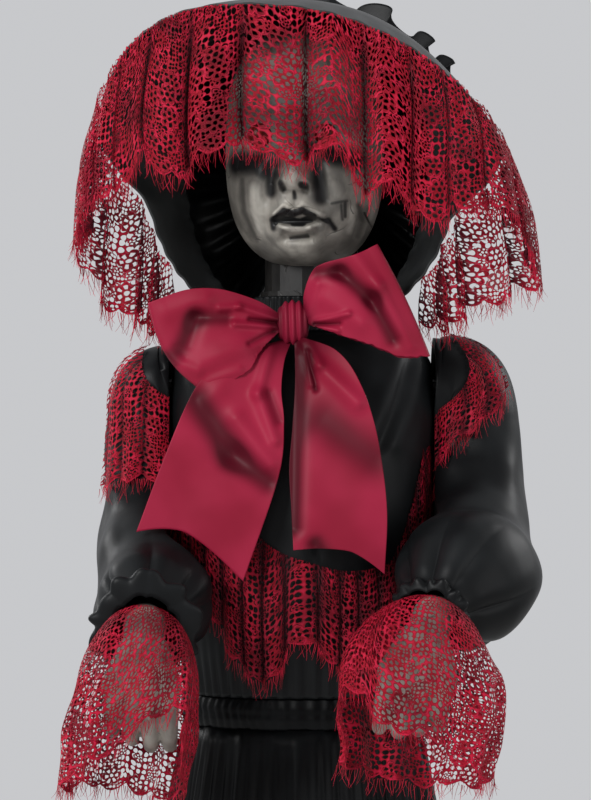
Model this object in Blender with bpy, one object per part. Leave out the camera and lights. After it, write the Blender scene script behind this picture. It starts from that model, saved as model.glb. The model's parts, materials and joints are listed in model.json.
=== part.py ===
# Life-size animated figure of a bonneted lady for a seasonal display.
# Metres, +Z up. The origin is the centre of the base on the floor; the figure faces -Y,
# and "left" is the figure's own left, at +X.
import math

import bmesh
import bpy
from mathutils import Matrix, Vector

for old in list(bpy.data.objects):
    bpy.data.objects.remove(old)

# Clearances
GAP = 0.0003
SEAM = 0.0005
MERGE = 0.000001
PAST = 0.01

# Base and pole
HUB_RADIUS = 0.045
HUB_HEIGHT = 0.034
HUB_CHAMFER = 0.007
LEG_RADIUS = 0.010
LEG_WALL = 0.0015
LEG_LENGTH = 0.245
LEG_SOCKET = 0.020
LEG_TURN = math.radians(45)
FOOT_LENGTH = 0.040
FOOT_WIDTH = 0.034
FOOT_HEIGHT = 0.030
FOOT_GRIP = 0.026
POLE_RADIUS = 0.0125
POLE_WALL = 0.0012
POLE_SOCKET = 0.026
LOWER_POLE_LENGTH = 0.520
UPPER_POLE_LENGTH = 0.576
POLE_OVERLAP = 0.066
CLAMP_RADIUS = 0.020
CLAMP_HEIGHT = 0.040
CLAMP_LIP = 0.010

# Waist drive
WAIST_MODULE = 0.0030
WAIST_TEETH = 30
WAIST_PINION_TEETH = 10
WAIST_GEAR_HEIGHT = 0.008
WAIST_GEAR_HUB_RADIUS = 0.018
WAIST_GEAR_HUB_HEIGHT = 0.004
BEARING_LENGTH = 0.070
PLATE_RADIUS = 0.0855
PLATE_HEIGHT = 0.004
MOTOR_RADIUS = 0.0125
MOTOR_LENGTH = 0.050
MOTOR_BOSS = 0.006
MOTOR_SHOULDER = 0.002
MOTOR_SHAFT = 0.003
SHAFT_GRIP = 0.008
SHAFT_SINK = 0.001
SHAFT_HOLE = 0.0045

# Torso, as heights over the waist with half width and half depth of the dress there
PLATE_TO_WAIST = 0.0147
TORSO_OUTLINE = (
    (-0.012, 0.1150, 0.0940),
    (0.050, 0.1200, 0.1000),
    (0.120, 0.1250, 0.1080),
    (0.200, 0.1275, 0.1120),
    (0.260, 0.1275, 0.1040),
    (0.310, 0.1275, 0.0880),
    (0.336, 0.1220, 0.0730),
    (0.353, 0.0960, 0.0640),
    (0.370, 0.0520, 0.0560),
)
TORSO_SQUARENESS = 0.85
SHELL_WALL = 0.0025
SHELL_ROOM = 0.0030
SHELL_TOP = 0.336
SHELL_SEAM_TURN = 0.0025
DRESS_WALL = 0.0025
SHOULDER_RISE = 0.315
SPINE_WALL = 0.0015
SPINE_UNDER_BAR = 0.004
BAR_RADIUS = 0.011
BAR_WALL = 0.0015
BAR_HALF_LENGTH = 0.1285
ARM_HOLE = 0.0145
TEE_SIZE = (0.050, 0.040, 0.056)

# Neck drive
BRACKET_SIZE = (0.044, 0.072, 0.004)
BRACKET_BACK = 0.016
NECK_MODULE = 0.0020
NECK_TEETH = 30
NECK_PINION_TEETH = 10
NECK_GEAR_HEIGHT = 0.006
NECK_SHAFT_RADIUS = 0.005
NECK_SHAFT_SEAT = 0.014
NECK_STEM_RADIUS = 0.010
NECK_RADIUS = 0.037
NECK_FLANGE = 0.041
NECK_FLANGE_HEIGHT = 0.005
NECK_IN_HEAD = 0.034
COLLAR_WALL = 0.0025
COLLAR_RADIUS = 0.048
COLLAR_TAPER = 0.003
COLLAR_FOOT = 0.005
COLLAR_HEIGHT = 0.035

# Head
HEAD_HALF_WIDTH = 0.0785
HEAD_HALF_DEPTH = 0.094
HEAD_HALF_HEIGHT = 0.118
HEAD_FORWARD = 0.020
HEAD_SIDE = 0.005
HEAD_SQUARENESS = 0.76
HEAD_WALL = 0.003
HEAD_SEAM = 0.0010
HEAD_REST_TURN = math.radians(-6)
CHIN_CLEARANCE = 0.024
EYE_RADIUS = 0.012
EYE_SPACING = 0.031
EYE_LIFT = 0.006
EYE_DEPTH = 0.014
# Bumps of the face: sideways, up, spread sideways, spread up, push forward
FACE = (
    (0.000, 0.000, 0.0090, 0.0260, 0.0090),
    (0.000, -0.042, 0.0110, 0.0110, 0.0170),
    (0.013, -0.048, 0.0070, 0.0070, 0.0070),
    (0.000, -0.064, 0.0180, 0.0060, 0.0070),
    (0.000, -0.077, 0.0150, 0.0065, 0.0080),
    (0.000, -0.0705, 0.0230, 0.0030, -0.0040),
    (0.000, -0.101, 0.0200, 0.0130, 0.0080),
    (0.042, -0.036, 0.0190, 0.0230, 0.0050),
    (0.031, 0.006, 0.0180, 0.0130, -0.0130),
    (0.030, 0.026, 0.0240, 0.0080, 0.0040),
)

# Bonnet: the arch of its front edge, and the smaller one where brim and crown meet
BRIM_HALF_WIDTH = 0.183
BRIM_RISE = 0.120
BRIM_DROP = 0.178
BRIM_PEAK = 1.5
BRIM_PEAK_SIDE = -0.035
BRIM_ROLL = math.radians(3)
BRIM_FRONT = 0.160
BRIM_FRONT_LOW = 0.055
BRIM_START = math.radians(-52)
BRIM_SWELL = (0.010, 0.020)
BRIM_WALL = 0.004
SEAM_HALF_WIDTH = 0.122
SEAM_BACK = 0.010
SEAM_DROP = 0.172
ARCH_SQUARENESS = 0.84
CROWN_START = math.radians(-62)
CROWN_WALL = 0.003
CROWN_ROOM = 0.0004
CROWN_BACK = 0.175
CROWN_SWELL = 0.012
FRILL_HEIGHT = (0.022, 0.045)
FRILL_WALL = 0.0016
FRILL_FOLDS = 10
FRILL_WAVE = 0.008
CURTAIN_FRONT = 0.27
CURTAIN_EDGE = 0.008
CURTAIN_DROP = 0.010
CURTAIN_FOLDS = 3
CURTAIN_WALL = 0.0020

# Lace and ribbon
LACE_WALL = 0.0012
VEIL_START = math.radians(-30)
VEIL_DROP = 0.160
VEIL_LOW = 0.387
VEIL_FOLDS = 15
VEIL_WAVE = 0.010
VEIL_FLARE = 0.12
WAIST_LACE_TOP = 0.160
WAIST_LACE_DROP = 0.120
WAIST_LACE_SIDE_RISE = 0.090
WAIST_LACE_HALF_TURN = math.radians(67)
WAIST_LACE_FOLDS = 8
WAIST_LACE_WAVE = 0.004
SHOULDER_LACE_WAVE = 0.003
SHOULDER_LACE_FOLDS = 3
SHOULDER_LACE_ROOM = 0.0022
# Each shoulder's lace, from its outer end to the chest: turns round the arm, and shares of the arm
SHOULDER_LACE = {
    "left": {"turn": (-0.29, 0.12), "seam": (0.10, 0.20), "hem": (0.19, 0.35)},
    "right": {"turn": (-0.31, 0.03), "seam": (0.12, 0.17), "hem": (0.36, 0.38)},
}
CUFF_LENGTH = 0.135
CUFF_START = 0.0243
CUFF_HALF_HEIGHT = 0.048
CUFF_FOLDS = 8
CUFF_WAVE = 0.007
RIBBON_WALL = 0.0016
KNOT_SIZE = (0.030, 0.026, 0.040)
KNOT_LIFT = 0.378
KNOT_SIDE = -0.009
KNOT_FORWARD = 0.094
BOW_PIN_RADIUS = 0.006
LOOP_THICKNESS = 0.030
# Steps from the knot to each loop's upper and lower corner
LOOP_TIPS = {
    "right": ((-0.134, -0.028, 0.016), (-0.099, -0.032, -0.080)),
    "left": ((0.079, -0.030, 0.072), (0.129, -0.034, -0.034)),
}
LOOP_GAPS = {"right": 0.0020, "left": 0.0028}
# Steps from under the knot along each tail
TAIL_ROUTES = {
    "right": (
        (-0.0085, 0.003, 0),
        (-0.037, -0.020, -0.060),
        (-0.065, -0.034, -0.120),
        (-0.087, -0.040, -0.205),
    ),
    "left": (
        (0.0085, -0.003, 0),
        (0.035, -0.038, -0.060),
        (0.047, -0.056, -0.120),
        (0.049, -0.060, -0.215),
    ),
}
TAIL_LEAN = {"right": -0.040, "left": -0.020}
TAIL_WIDTHS = {
    "right": ((0, 0.015), (0.25, 0.070), (0.6, 0.105), (1, 0.100)),
    "left": ((0, 0.015), (0.25, 0.060), (0.6, 0.090), (1, 0.092)),
}
TAIL_NOTCH = 0.022
TAIL_CURL = 0.006

# Skirt
BAND_HEIGHT = 0.030
BAND_WALL = 0.003
SKIRT_WALL = 0.003
SKIRT_HALF_WIDTH = 0.340
SKIRT_HALF_DEPTH = 0.310
SKIRT_FOLDS = 16
SKIRT_WAVE = 0.017
HEM_CLEARANCE = 0.042

# Arms: points from the shoulder pivot, with the sleeve's radius at each
ARM_TUBE_RADIUS = 0.0091
ARM_START = 0.090
SLEEVE_START = 0.1310
SLEEVE_WALL = 0.0025
SLEEVE_FOLDS = 9
WRIST_RADIUS = 0.0210
GATHER_RADIUS = 0.0234
WRIST_INSET = 0.07
GRIP_SPAN = 0.11

# Hand: fingers as bone lengths, radii and bends, and the thumb as steps sideways, ahead and to the back
HAND_STUB = 0.038
PALM_REACH = 0.020
FINGER_PITCH = 0.0175
FINGER_ROOT = 0.056
FINGER_STAGGER = 0.004
KNUCKLE_RADII = (0.0140, 0.0110)
FINGER_BONES = ((0.034, 0.0092, 0.35), (0.023, 0.0082, 0.45), (0.018, 0.0070, 0.30))
THUMB_ROOT = (0.010, 0.008, -0.004)
THUMB_KNUCKLE = (0.010, 0.034, -0.018)
THUMB_TIP = (-0.006, 0.028, -0.008)
THUMB_RADII = ((0.0120, 0.0100), (0.0095, 0.0080))
HAND_VOXEL = 0.0042
HAND_KEEP = 0.10

# Control box on the pole
BOX_SIZE = (0.110, 0.046, 0.150)
BOX_WALL = 0.0025
BOX_HEIGHT_ON_POLE = 0.250
BOX_EDGE = 0.002
BOX_CLIP_DEPTH = 0.026
BOX_CLIP_WALL = 0.0045
BOX_CLIP_HEIGHT = 0.040
BUTTON_RADIUS = 0.0075
BUTTON_FLANGE = 0.002
BUTTON_STANDS = 0.0030
BUTTON_LIFT = 0.050
BUTTON_SIDE = 0.034
SWITCH_SIZE = (0.0060, 0.0050, 0.0040)
SWITCH_SOLE = (0.010, 0.002, 0.008)
SWITCH_TRAVEL = 0.005
SWITCH_LIFT = 0.016
SPEAKER_RADIUS = 0.022
SPEAKER_DEPTH = 0.012
SPEAKER_SIDE = -0.020
SPEAKER_LIFT = 0.038
GRILLE_SLOTS = 5
GRILLE_SLOT = (0.030, 0.0030)
GRILLE_PITCH = 0.0070
DOOR_SIZE = (0.064, 0.064)
DOOR_GAP = 0.0008
DOOR_HINGE_GAP = 0.0018
DOOR_LIFT = -0.036
JACK_RADIUS = 0.0055
JACK_BORE = 0.0032
JACK_LENGTH = 0.010
JACK_HEIGHT = 0.030

# Heights and places that follow from the sizes above
POLE_FOOT = HUB_HEIGHT - POLE_SOCKET
LOWER_POLE_TOP = POLE_FOOT + LOWER_POLE_LENGTH
UPPER_POLE_FOOT = LOWER_POLE_TOP - POLE_OVERLAP
POLE_TOP = UPPER_POLE_FOOT + UPPER_POLE_LENGTH
UPPER_POLE_RADIUS = POLE_RADIUS - POLE_WALL - GAP
PLATE_BOTTOM = POLE_TOP - BEARING_LENGTH
WAIST_GEAR_TOP = PLATE_BOTTOM - GAP - WAIST_GEAR_HUB_HEIGHT
PLATE_TOP = PLATE_BOTTOM + PLATE_HEIGHT
WAIST_Z = PLATE_TOP + PLATE_TO_WAIST
SHOULDER_Z = WAIST_Z + SHOULDER_RISE
SPINE_RADIUS = UPPER_POLE_RADIUS + GAP + SPINE_WALL
WAIST_PITCH = WAIST_MODULE * (WAIST_TEETH + WAIST_PINION_TEETH) / 2 + GAP
NECK_PITCH = NECK_MODULE * (NECK_TEETH + NECK_PINION_TEETH) / 2 + GAP
TEE_TOP = SHOULDER_Z + TEE_SIZE[2] / 2
BRACKET_TOP = TEE_TOP + BRACKET_SIZE[2]
SPINE_TOP = SHOULDER_Z - BAR_RADIUS - SPINE_UNDER_BAR - GAP
NECK_GEAR_BOTTOM = BRACKET_TOP + GAP
NECK_STEM_BOTTOM = NECK_GEAR_BOTTOM + NECK_GEAR_HEIGHT + GAP
BODICE_TOP = WAIST_Z + TORSO_OUTLINE[-1][0]
COLLAR_BOTTOM = BODICE_TOP + SEAM
COLLAR_TOP = COLLAR_BOTTOM + COLLAR_HEIGHT
FLANGE_BOTTOM = COLLAR_TOP + SEAM
FLANGE_TOP = FLANGE_BOTTOM + NECK_FLANGE_HEIGHT
CHIN_Z = FLANGE_TOP + CHIN_CLEARANCE
HEAD_Z = CHIN_Z + HEAD_HALF_HEIGHT
HEAD_CENTRE = Vector((HEAD_SIDE, -HEAD_FORWARD, HEAD_Z))
SEAM_RISE = HEAD_HALF_HEIGHT + CROWN_WALL + CROWN_ROOM
GRIP_END = 1 - WRIST_INSET
GRIP_START = GRIP_END - GRIP_SPAN
VEIL_LOWEST = WAIST_Z + VEIL_LOW
FULL = 2 * math.pi


# Materials

def material(name, colour, roughness, metallic=0.0):
    made = bpy.data.materials.new(name)
    made.use_nodes = True
    shader = made.node_tree.nodes["Principled BSDF"]
    shader.inputs["Base Color"].default_value = (*colour, 1.0)
    shader.inputs["Roughness"].default_value = roughness
    shader.inputs["Metallic"].default_value = metallic
    return made


STEEL = material("steel", (0.10, 0.10, 0.11), 0.45, 0.8)
BLACK_PLASTIC = material("black_plastic", (0.03, 0.03, 0.03), 0.5)
NYLON = material("nylon", (0.80, 0.78, 0.72), 0.5)
RUBBER = material("rubber", (0.02, 0.02, 0.02), 0.8)
SKIN = material("grey_skin", (0.42, 0.41, 0.39), 0.45)
EYE = material("eye_lens", (0.55, 0.05, 0.03), 0.1)
BLACK_SATIN = material("black_satin", (0.015, 0.016, 0.018), 0.38)
RED_LACE = material("red_lace", (0.50, 0.01, 0.05), 0.6)
RED_SATIN = material("red_satin", (0.42, 0.02, 0.07), 0.32)
BUTTON_RED = material("button_red", (0.60, 0.03, 0.03), 0.4)


# Ways of making a piece

def placed(name, shape, surface, place=None, origin=None):
    """Makes the object. origin is the point, such as one on a joint's axis, that it turns about."""
    if place is not None:
        bmesh.ops.transform(shape, matrix=place, verts=shape.verts)
    start = Vector(origin or (0, 0, 0))
    bmesh.ops.translate(shape, vec=-start, verts=shape.verts)
    mesh = bpy.data.meshes.new(name)
    shape.to_mesh(mesh)
    shape.free()
    mesh.shade_smooth()
    mesh.set_sharp_from_angle(angle=math.radians(35))
    made = bpy.data.objects.new(name, mesh)
    made.location = start
    made.data.materials.append(surface)
    bpy.context.scene.collection.objects.link(made)
    return made


def turned(name, profile, sides, surface, place=None, origin=None, closed=True):
    """Spins an outline of (radius, height) points about +Z. An open outline starts and ends on the axis."""
    shape = bmesh.new()
    line = [shape.verts.new((radius, 0, height)) for radius, height in profile]
    ends = line[1:] + (line[:1] if closed else [])
    edges = [shape.edges.new(pair) for pair in zip(line, ends)]
    bmesh.ops.spin(shape, geom=line + edges, axis=(0, 0, 1), cent=(0, 0, 0), angle=FULL, steps=sides)
    bmesh.ops.remove_doubles(shape, verts=shape.verts, dist=MERGE)
    bmesh.ops.recalc_face_normals(shape, faces=shape.faces)
    return placed(name, shape, surface, place, origin)


def tube(name, radius, wall, length, sides, surface, place=None):
    ring = ((radius, 0), (radius, length), (radius - wall, length), (radius - wall, 0))
    return turned(name, ring, sides, surface, place)


def block(name, size, centre, surface, bevel=0.0, origin=None):
    shape = bmesh.new()
    bmesh.ops.create_cube(shape, size=1.0)
    bmesh.ops.scale(shape, vec=size, verts=shape.verts)
    if bevel:
        bmesh.ops.bevel(shape, geom=shape.edges[:], offset=bevel, segments=1, affect="EDGES", profile=0.5)
    return placed(name, shape, surface, Matrix.Translation(centre), origin)


def sheet(name, bend, across, along, wall, surface, side=-1.0, origin=None):
    """A grid bent to shape by bend(u, v), both from 0 to 1, and given its thickness on one side."""
    shape = bmesh.new()
    bmesh.ops.create_grid(shape, x_segments=across, y_segments=along, size=1.0)
    for vert in shape.verts:
        vert.co = bend((vert.co.x + 1) / 2, (vert.co.y + 1) / 2)
    bmesh.ops.remove_doubles(shape, verts=shape.verts, dist=MERGE)
    made = placed(name, shape, surface, None, origin)
    thick = made.modifiers.new("Wall", "SOLIDIFY")
    thick.thickness = wall
    thick.offset = side
    return made


def helper(made):
    made.hide_render = True
    made.display_type = "WIRE"
    return made


def rod(name, radius, start, end, sides=12):
    """A hidden cylinder from start to end. Its flats are radius away, so a rod clears the hole it cuts."""
    start, end = Vector(start), Vector(end)
    run = end - start
    radius /= math.cos(math.pi / sides)
    place = Matrix.Translation(start) @ run.to_track_quat("Z", "Y").to_matrix().to_4x4()
    outline = ((0, 0), (radius, 0), (radius, run.length), (0, run.length))
    return helper(turned(name, outline, sides, BLACK_PLASTIC, place, None, False))


def combine(made, other, operation):
    step = made.modifiers.new(other.name, "BOOLEAN")
    step.operation = operation
    step.solver = "EXACT"
    step.object = other


def cut(made, cutter):
    combine(made, cutter, "DIFFERENCE")


def union(made, other):
    combine(made, other, "UNION")


def gear(name, teeth, module, height, bottom, centre, tooth_angle, bore, surface, hub=None):
    """A spur gear with straight-flanked teeth, thinned for backlash. One tooth is centred on tooth_angle."""
    pitch = module * teeth / 2
    tip, root = pitch + 0.9 * module, pitch - 1.15 * module
    step = FULL / teeth
    shape = bmesh.new()
    outline = []
    for tooth in range(teeth):
        middle = tooth_angle + tooth * step
        for radius, share in ((root, -0.26), (tip, -0.10), (tip, 0.10), (root, 0.26)):
            angle = middle + share * step
            outline.append(shape.verts.new((radius * math.cos(angle), radius * math.sin(angle), 0)))
    face = shape.faces.new(outline)
    made = bmesh.ops.extrude_face_region(shape, geom=[face])
    top = [item for item in made["geom"] if isinstance(item, bmesh.types.BMVert)]
    bmesh.ops.translate(shape, vec=(0, 0, height), verts=top)
    bmesh.ops.recalc_face_normals(shape, faces=shape.faces)
    wheel = placed(name, shape, surface, Matrix.Translation((*centre, bottom)), (*centre, 0))
    if hub:
        radius, low, high = hub
        union(wheel, rod(name + "_hub", radius, (*centre, low), (*centre, high)))
    if bore:
        low = min(bottom, hub[1]) if hub else bottom
        high = max(bottom + height, hub[2]) if hub else bottom + height
        cut(wheel, rod(name + "_bore", bore, (*centre, low - PAST), (*centre, high + PAST)))
    return wheel


# Measures shared by several pieces

def eased(value):
    value = min(max(value, 0.0), 1.0)
    return value * value * (3 - 2 * value)


def between(table, place):
    """Reads a table of (place, value, value...) rows at one place."""
    if place <= table[0][0]:
        return table[0][1:]
    for low, high in zip(table, table[1:]):
        if place <= high[0]:
            share = (place - low[0]) / (high[0] - low[0])
            return [a + (b - a) * share for a, b in zip(low[1:], high[1:])]
    return table[-1][1:]


def through(points, share):
    """A smooth curve through the points, read at a share of the way along."""
    spans = len(points) - 1
    at = min(int(share * spans), spans - 1)
    t = share * spans - at
    p1, p2 = Vector(points[at]), Vector(points[at + 1])
    p0 = Vector(points[at - 1]) if at else p1 * 2 - p2
    p3 = Vector(points[at + 2]) if at + 2 <= spans else p2 * 2 - p1
    square = 2 * p0 - 5 * p1 + 4 * p2 - p3
    cube = 3 * p1 - p0 - 3 * p2 + p3
    return 0.5 * (2 * p1 + (p2 - p0) * t + square * t ** 2 + cube * t ** 3)


def squared(value, power):
    return math.copysign(abs(value) ** power, value)


def torso_point(angle, height, inset):
    """A point of the dress at an angle round the body and a height over the waist, moved in by inset."""
    half_width, half_depth = between(TORSO_OUTLINE, height)
    x = (half_width - inset) * squared(math.cos(angle), TORSO_SQUARENESS)
    y = (half_depth - inset) * squared(math.sin(angle), TORSO_SQUARENESS)
    return Vector((x, y, WAIST_Z + height))


def torso_rows(low, high):
    """The heights from low to high at which the torso's outline bends."""
    return [low] + [row[0] for row in TORSO_OUTLINE if low + SEAM < row[0] < high - SEAM] + [high]


# Stand

def make_stand():
    hub_outline = (
        (0, 0),
        (HUB_RADIUS, 0),
        (HUB_RADIUS, HUB_HEIGHT - HUB_CHAMFER),
        (HUB_RADIUS - HUB_CHAMFER, HUB_HEIGHT),
        (0, HUB_HEIGHT),
    )
    hub = turned("base_hub", hub_outline, 20, BLACK_PLASTIC, closed=False)
    socket = rod("pole_socket", POLE_RADIUS + GAP, (0, 0, POLE_FOOT - GAP), (0, 0, HUB_HEIGHT + PAST))
    cut(hub, socket)
    leg_z = HUB_HEIGHT / 2
    leg_start = HUB_RADIUS - LEG_SOCKET
    for index, side in enumerate(("rear_left", "rear_right", "front_right", "front_left")):
        angle = LEG_TURN + index * math.pi / 2
        out = Vector((math.cos(angle), math.sin(angle), 0))
        spin = Matrix.Rotation(angle, 4, "Z") @ Matrix.Rotation(math.pi / 2, 4, "Y")
        lift = Vector((0, 0, leg_z))
        hole = (out * (leg_start - GAP) + lift, out * (HUB_RADIUS + PAST) + lift)
        cut(hub, rod("leg_socket_" + side, LEG_RADIUS + GAP, *hole))
        place = Matrix.Translation(out * leg_start + lift) @ spin
        tube("leg_" + side, LEG_RADIUS, LEG_WALL, LEG_LENGTH, 10, STEEL, place)
        tip = leg_start + LEG_LENGTH
        middle = out * (tip - FOOT_GRIP + FOOT_LENGTH / 2) + Vector((0, 0, FOOT_HEIGHT / 2))
        foot = block("foot_" + side, (FOOT_LENGTH, FOOT_WIDTH, FOOT_HEIGHT), (0, 0, 0), RUBBER)
        foot.rotation_euler = (0, 0, angle)
        foot.location = middle
        bore = (out * (tip - FOOT_GRIP - PAST) + lift, out * (tip + GAP) + lift)
        cut(foot, rod("foot_bore_" + side, LEG_RADIUS + GAP, *bore))
    foot_of_lower = Matrix.Translation((0, 0, POLE_FOOT))
    tube("lower_pole", POLE_RADIUS, POLE_WALL, LOWER_POLE_LENGTH, 16, STEEL, foot_of_lower)
    foot_of_upper = Matrix.Translation((0, 0, UPPER_POLE_FOOT))
    tube("upper_pole", UPPER_POLE_RADIUS, POLE_WALL, UPPER_POLE_LENGTH, 16, STEEL, foot_of_upper)
    low = LOWER_POLE_TOP - CLAMP_HEIGHT + CLAMP_LIP
    step = LOWER_POLE_TOP + GAP
    clamp = (
        (POLE_RADIUS + GAP, low),
        (CLAMP_RADIUS, low),
        (CLAMP_RADIUS, low + CLAMP_HEIGHT),
        (UPPER_POLE_RADIUS + GAP, low + CLAMP_HEIGHT),
        (UPPER_POLE_RADIUS + GAP, step),
        (POLE_RADIUS + GAP, step),
    )
    turned("pole_clamp", clamp, 16, BLACK_PLASTIC)


# Control box

def make_control_box():
    width, depth, height = BOX_SIZE
    front = POLE_RADIUS + GAP
    centre_z = POLE_FOOT + BOX_HEIGHT_ON_POLE + height / 2
    tray_front = front + BOX_CLIP_DEPTH / 2
    tray_back = tray_front + depth - BOX_WALL
    tray_depth = tray_back - tray_front
    tray_y = tray_front + tray_depth / 2
    tray_size = (width, tray_depth, height)
    tray = block("control_box_body", tray_size, (0, tray_y, centre_z), BLACK_PLASTIC, BOX_EDGE)
    clip_y = tray_front + BOX_EDGE / 2 - BOX_CLIP_DEPTH / 2
    clip = (2 * (POLE_RADIUS + BOX_CLIP_WALL), BOX_CLIP_DEPTH, BOX_CLIP_HEIGHT)
    union(tray, helper(block("clip_block", clip, (0, clip_y, centre_z), BLACK_PLASTIC)))
    hollow = (width - 2 * BOX_WALL, tray_depth, height - 2 * BOX_WALL)
    cut(tray, helper(block("tray_hollow", hollow, (0, tray_y + BOX_WALL, centre_z), BLACK_PLASTIC)))
    cut(tray, rod("clip_bore", front, (0, 0, centre_z - height), (0, 0, centre_z + height)))
    mouth = (POLE_RADIUS * 1.5, BOX_CLIP_DEPTH, height)
    mouth_y = -BOX_CLIP_DEPTH / 2 - POLE_RADIUS * 0.4
    cut(tray, helper(block("clip_mouth", mouth, (0, mouth_y, centre_z), BLACK_PLASTIC)))
    jack_z = centre_z - height / 2 + JACK_HEIGHT
    side_x = width / 2
    hole = ((side_x - 2 * BOX_WALL, tray_y, jack_z), (side_x + PAST, tray_y, jack_z))
    cut(tray, rod("jack_hole", JACK_RADIUS + GAP, *hole))
    jack = (
        (0, 0),
        (JACK_RADIUS, 0),
        (JACK_RADIUS, JACK_LENGTH),
        (JACK_BORE, JACK_LENGTH),
        (JACK_BORE, BOX_WALL),
        (0, BOX_WALL),
    )
    sideways = Matrix.Rotation(math.pi / 2, 4, "Y")
    jack_place = Matrix.Translation((side_x - JACK_LENGTH, tray_y, jack_z)) @ sideways
    turned("power_inlet", jack, 16, BLACK_PLASTIC, jack_place, closed=False)

    inner = tray_back + GAP
    outer = inner + BOX_WALL
    middle = (inner + outer) / 2
    cover = block("control_box_cover", (width, BOX_WALL, height), (0, middle, centre_z), BLACK_PLASTIC)
    across = (inner - PAST, outer + PAST)
    button_z = centre_z + BUTTON_LIFT
    hole = [(BUTTON_SIDE, y, button_z) for y in across]
    cut(cover, rod("button_hole", BUTTON_RADIUS + GAP, *hole))
    slot = (SWITCH_SIZE[0] + SWITCH_TRAVEL + 2 * GAP, 2 * PAST, SWITCH_SIZE[2] + 2 * GAP)
    switch_z = centre_z + SWITCH_LIFT
    slot_x = BUTTON_SIDE + SWITCH_TRAVEL / 2
    cut(cover, helper(block("switch_slot", slot, (slot_x, middle, switch_z), BLACK_PLASTIC)))
    for index in range(GRILLE_SLOTS):
        slot_z = centre_z + SPEAKER_LIFT + (index - (GRILLE_SLOTS - 1) / 2) * GRILLE_PITCH
        size = (GRILLE_SLOT[0], 2 * PAST, GRILLE_SLOT[1])
        spot = (SPEAKER_SIDE, middle, slot_z)
        cut(cover, helper(block("grille_slot_%d" % index, size, spot, BLACK_PLASTIC)))
    door_w, door_h = DOOR_SIZE
    door_z = centre_z + DOOR_LIFT
    window = (door_w + 2 * DOOR_GAP, 2 * PAST, door_h + DOOR_GAP + DOOR_HINGE_GAP)
    window_z = door_z + (DOOR_GAP - DOOR_HINGE_GAP) / 2
    cut(cover, helper(block("battery_window", window, (0, middle, window_z), BLACK_PLASTIC)))
    hinge = (0, middle, door_z - door_h / 2)
    door = (door_w, BOX_WALL, door_h)
    block("battery_door", door, (0, middle, door_z), BLACK_PLASTIC, origin=hinge)

    turn = Matrix.Rotation(-math.pi / 2, 4, "X")
    speaker = (
        (0, 0),
        (SPEAKER_RADIUS * 0.5, 0),
        (SPEAKER_RADIUS, SPEAKER_DEPTH * 0.7),
        (SPEAKER_RADIUS, SPEAKER_DEPTH),
        (0, SPEAKER_DEPTH),
    )
    speaker_at = (SPEAKER_SIDE, inner - GAP - SPEAKER_DEPTH, centre_z + SPEAKER_LIFT)
    turned("speaker", speaker, 20, STEEL, Matrix.Translation(speaker_at) @ turn, closed=False)
    flange = BUTTON_RADIUS + BUTTON_FLANGE
    stem = BOX_WALL + BUTTON_STANDS
    button = (
        (0, -BUTTON_FLANGE),
        (flange, -BUTTON_FLANGE),
        (flange, 0),
        (BUTTON_RADIUS, 0),
        (BUTTON_RADIUS, stem),
        (0, stem),
    )
    button_at = (BUTTON_SIDE, inner - GAP, button_z)
    button_place = Matrix.Translation(button_at) @ turn
    turned("try_me_button", button, 16, BUTTON_RED, button_place, button_at, False)
    switch_at = (BUTTON_SIDE, inner - GAP + SWITCH_SIZE[1] / 2, switch_z)
    switch = block("power_switch", SWITCH_SIZE, switch_at, BUTTON_RED, origin=switch_at)
    sole_at = (BUTTON_SIDE, inner - GAP - SWITCH_SOLE[1] * 0.4, switch_z)
    union(switch, helper(block("switch_sole", SWITCH_SOLE, sole_at, BUTTON_RED)))


# Waist drive

def motor_outline(length):
    bore = MOTOR_SHAFT + GAP
    return (
        (0, SHAFT_GRIP + GAP),
        (bore, SHAFT_GRIP + GAP),
        (bore, 0),
        (MOTOR_BOSS, 0),
        (MOTOR_RADIUS, MOTOR_SHOULDER),
        (MOTOR_RADIUS, length),
        (0, length),
    )


def make_waist_drive():
    gear_bottom = WAIST_GEAR_TOP - WAIST_GEAR_HEIGHT
    wheel = (WAIST_TEETH, WAIST_MODULE, WAIST_GEAR_HEIGHT, gear_bottom)
    hub = (WAIST_GEAR_HUB_RADIUS, gear_bottom + SHAFT_SINK, PLATE_BOTTOM - GAP)
    gear("waist_gear", *wheel, (0, 0), math.pi / 2, UPPER_POLE_RADIUS + GAP, NYLON, hub)
    spot = (0, WAIST_PITCH)
    pinion = (WAIST_PINION_TEETH, WAIST_MODULE, WAIST_GEAR_HEIGHT, gear_bottom)
    shaft = (MOTOR_SHAFT, gear_bottom + SHAFT_SINK, PLATE_TOP + GAP + SHAFT_GRIP)
    facing = math.pi / WAIST_PINION_TEETH - math.pi / 2
    gear("waist_pinion", *pinion, spot, facing, 0, NYLON, shaft)
    spine_bore = SPINE_RADIUS - SPINE_WALL
    spine_and_plate = (
        (spine_bore, PLATE_BOTTOM),
        (PLATE_RADIUS, PLATE_BOTTOM),
        (PLATE_RADIUS, PLATE_TOP),
        (SPINE_RADIUS, PLATE_TOP),
        (SPINE_RADIUS, SPINE_TOP),
        (spine_bore, SPINE_TOP),
    )
    floor = turned("torso_spine", spine_and_plate, 24, STEEL)
    hole = ((*spot, PLATE_BOTTOM - PAST), (*spot, PLATE_TOP + PAST))
    cut(floor, rod("motor_shaft_hole", SHAFT_HOLE, *hole))
    motor_place = Matrix.Translation((*spot, PLATE_TOP + GAP))
    turned("waist_motor", motor_outline(MOTOR_LENGTH), 16, STEEL, motor_place, closed=False)


# Torso frame and shells

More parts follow.
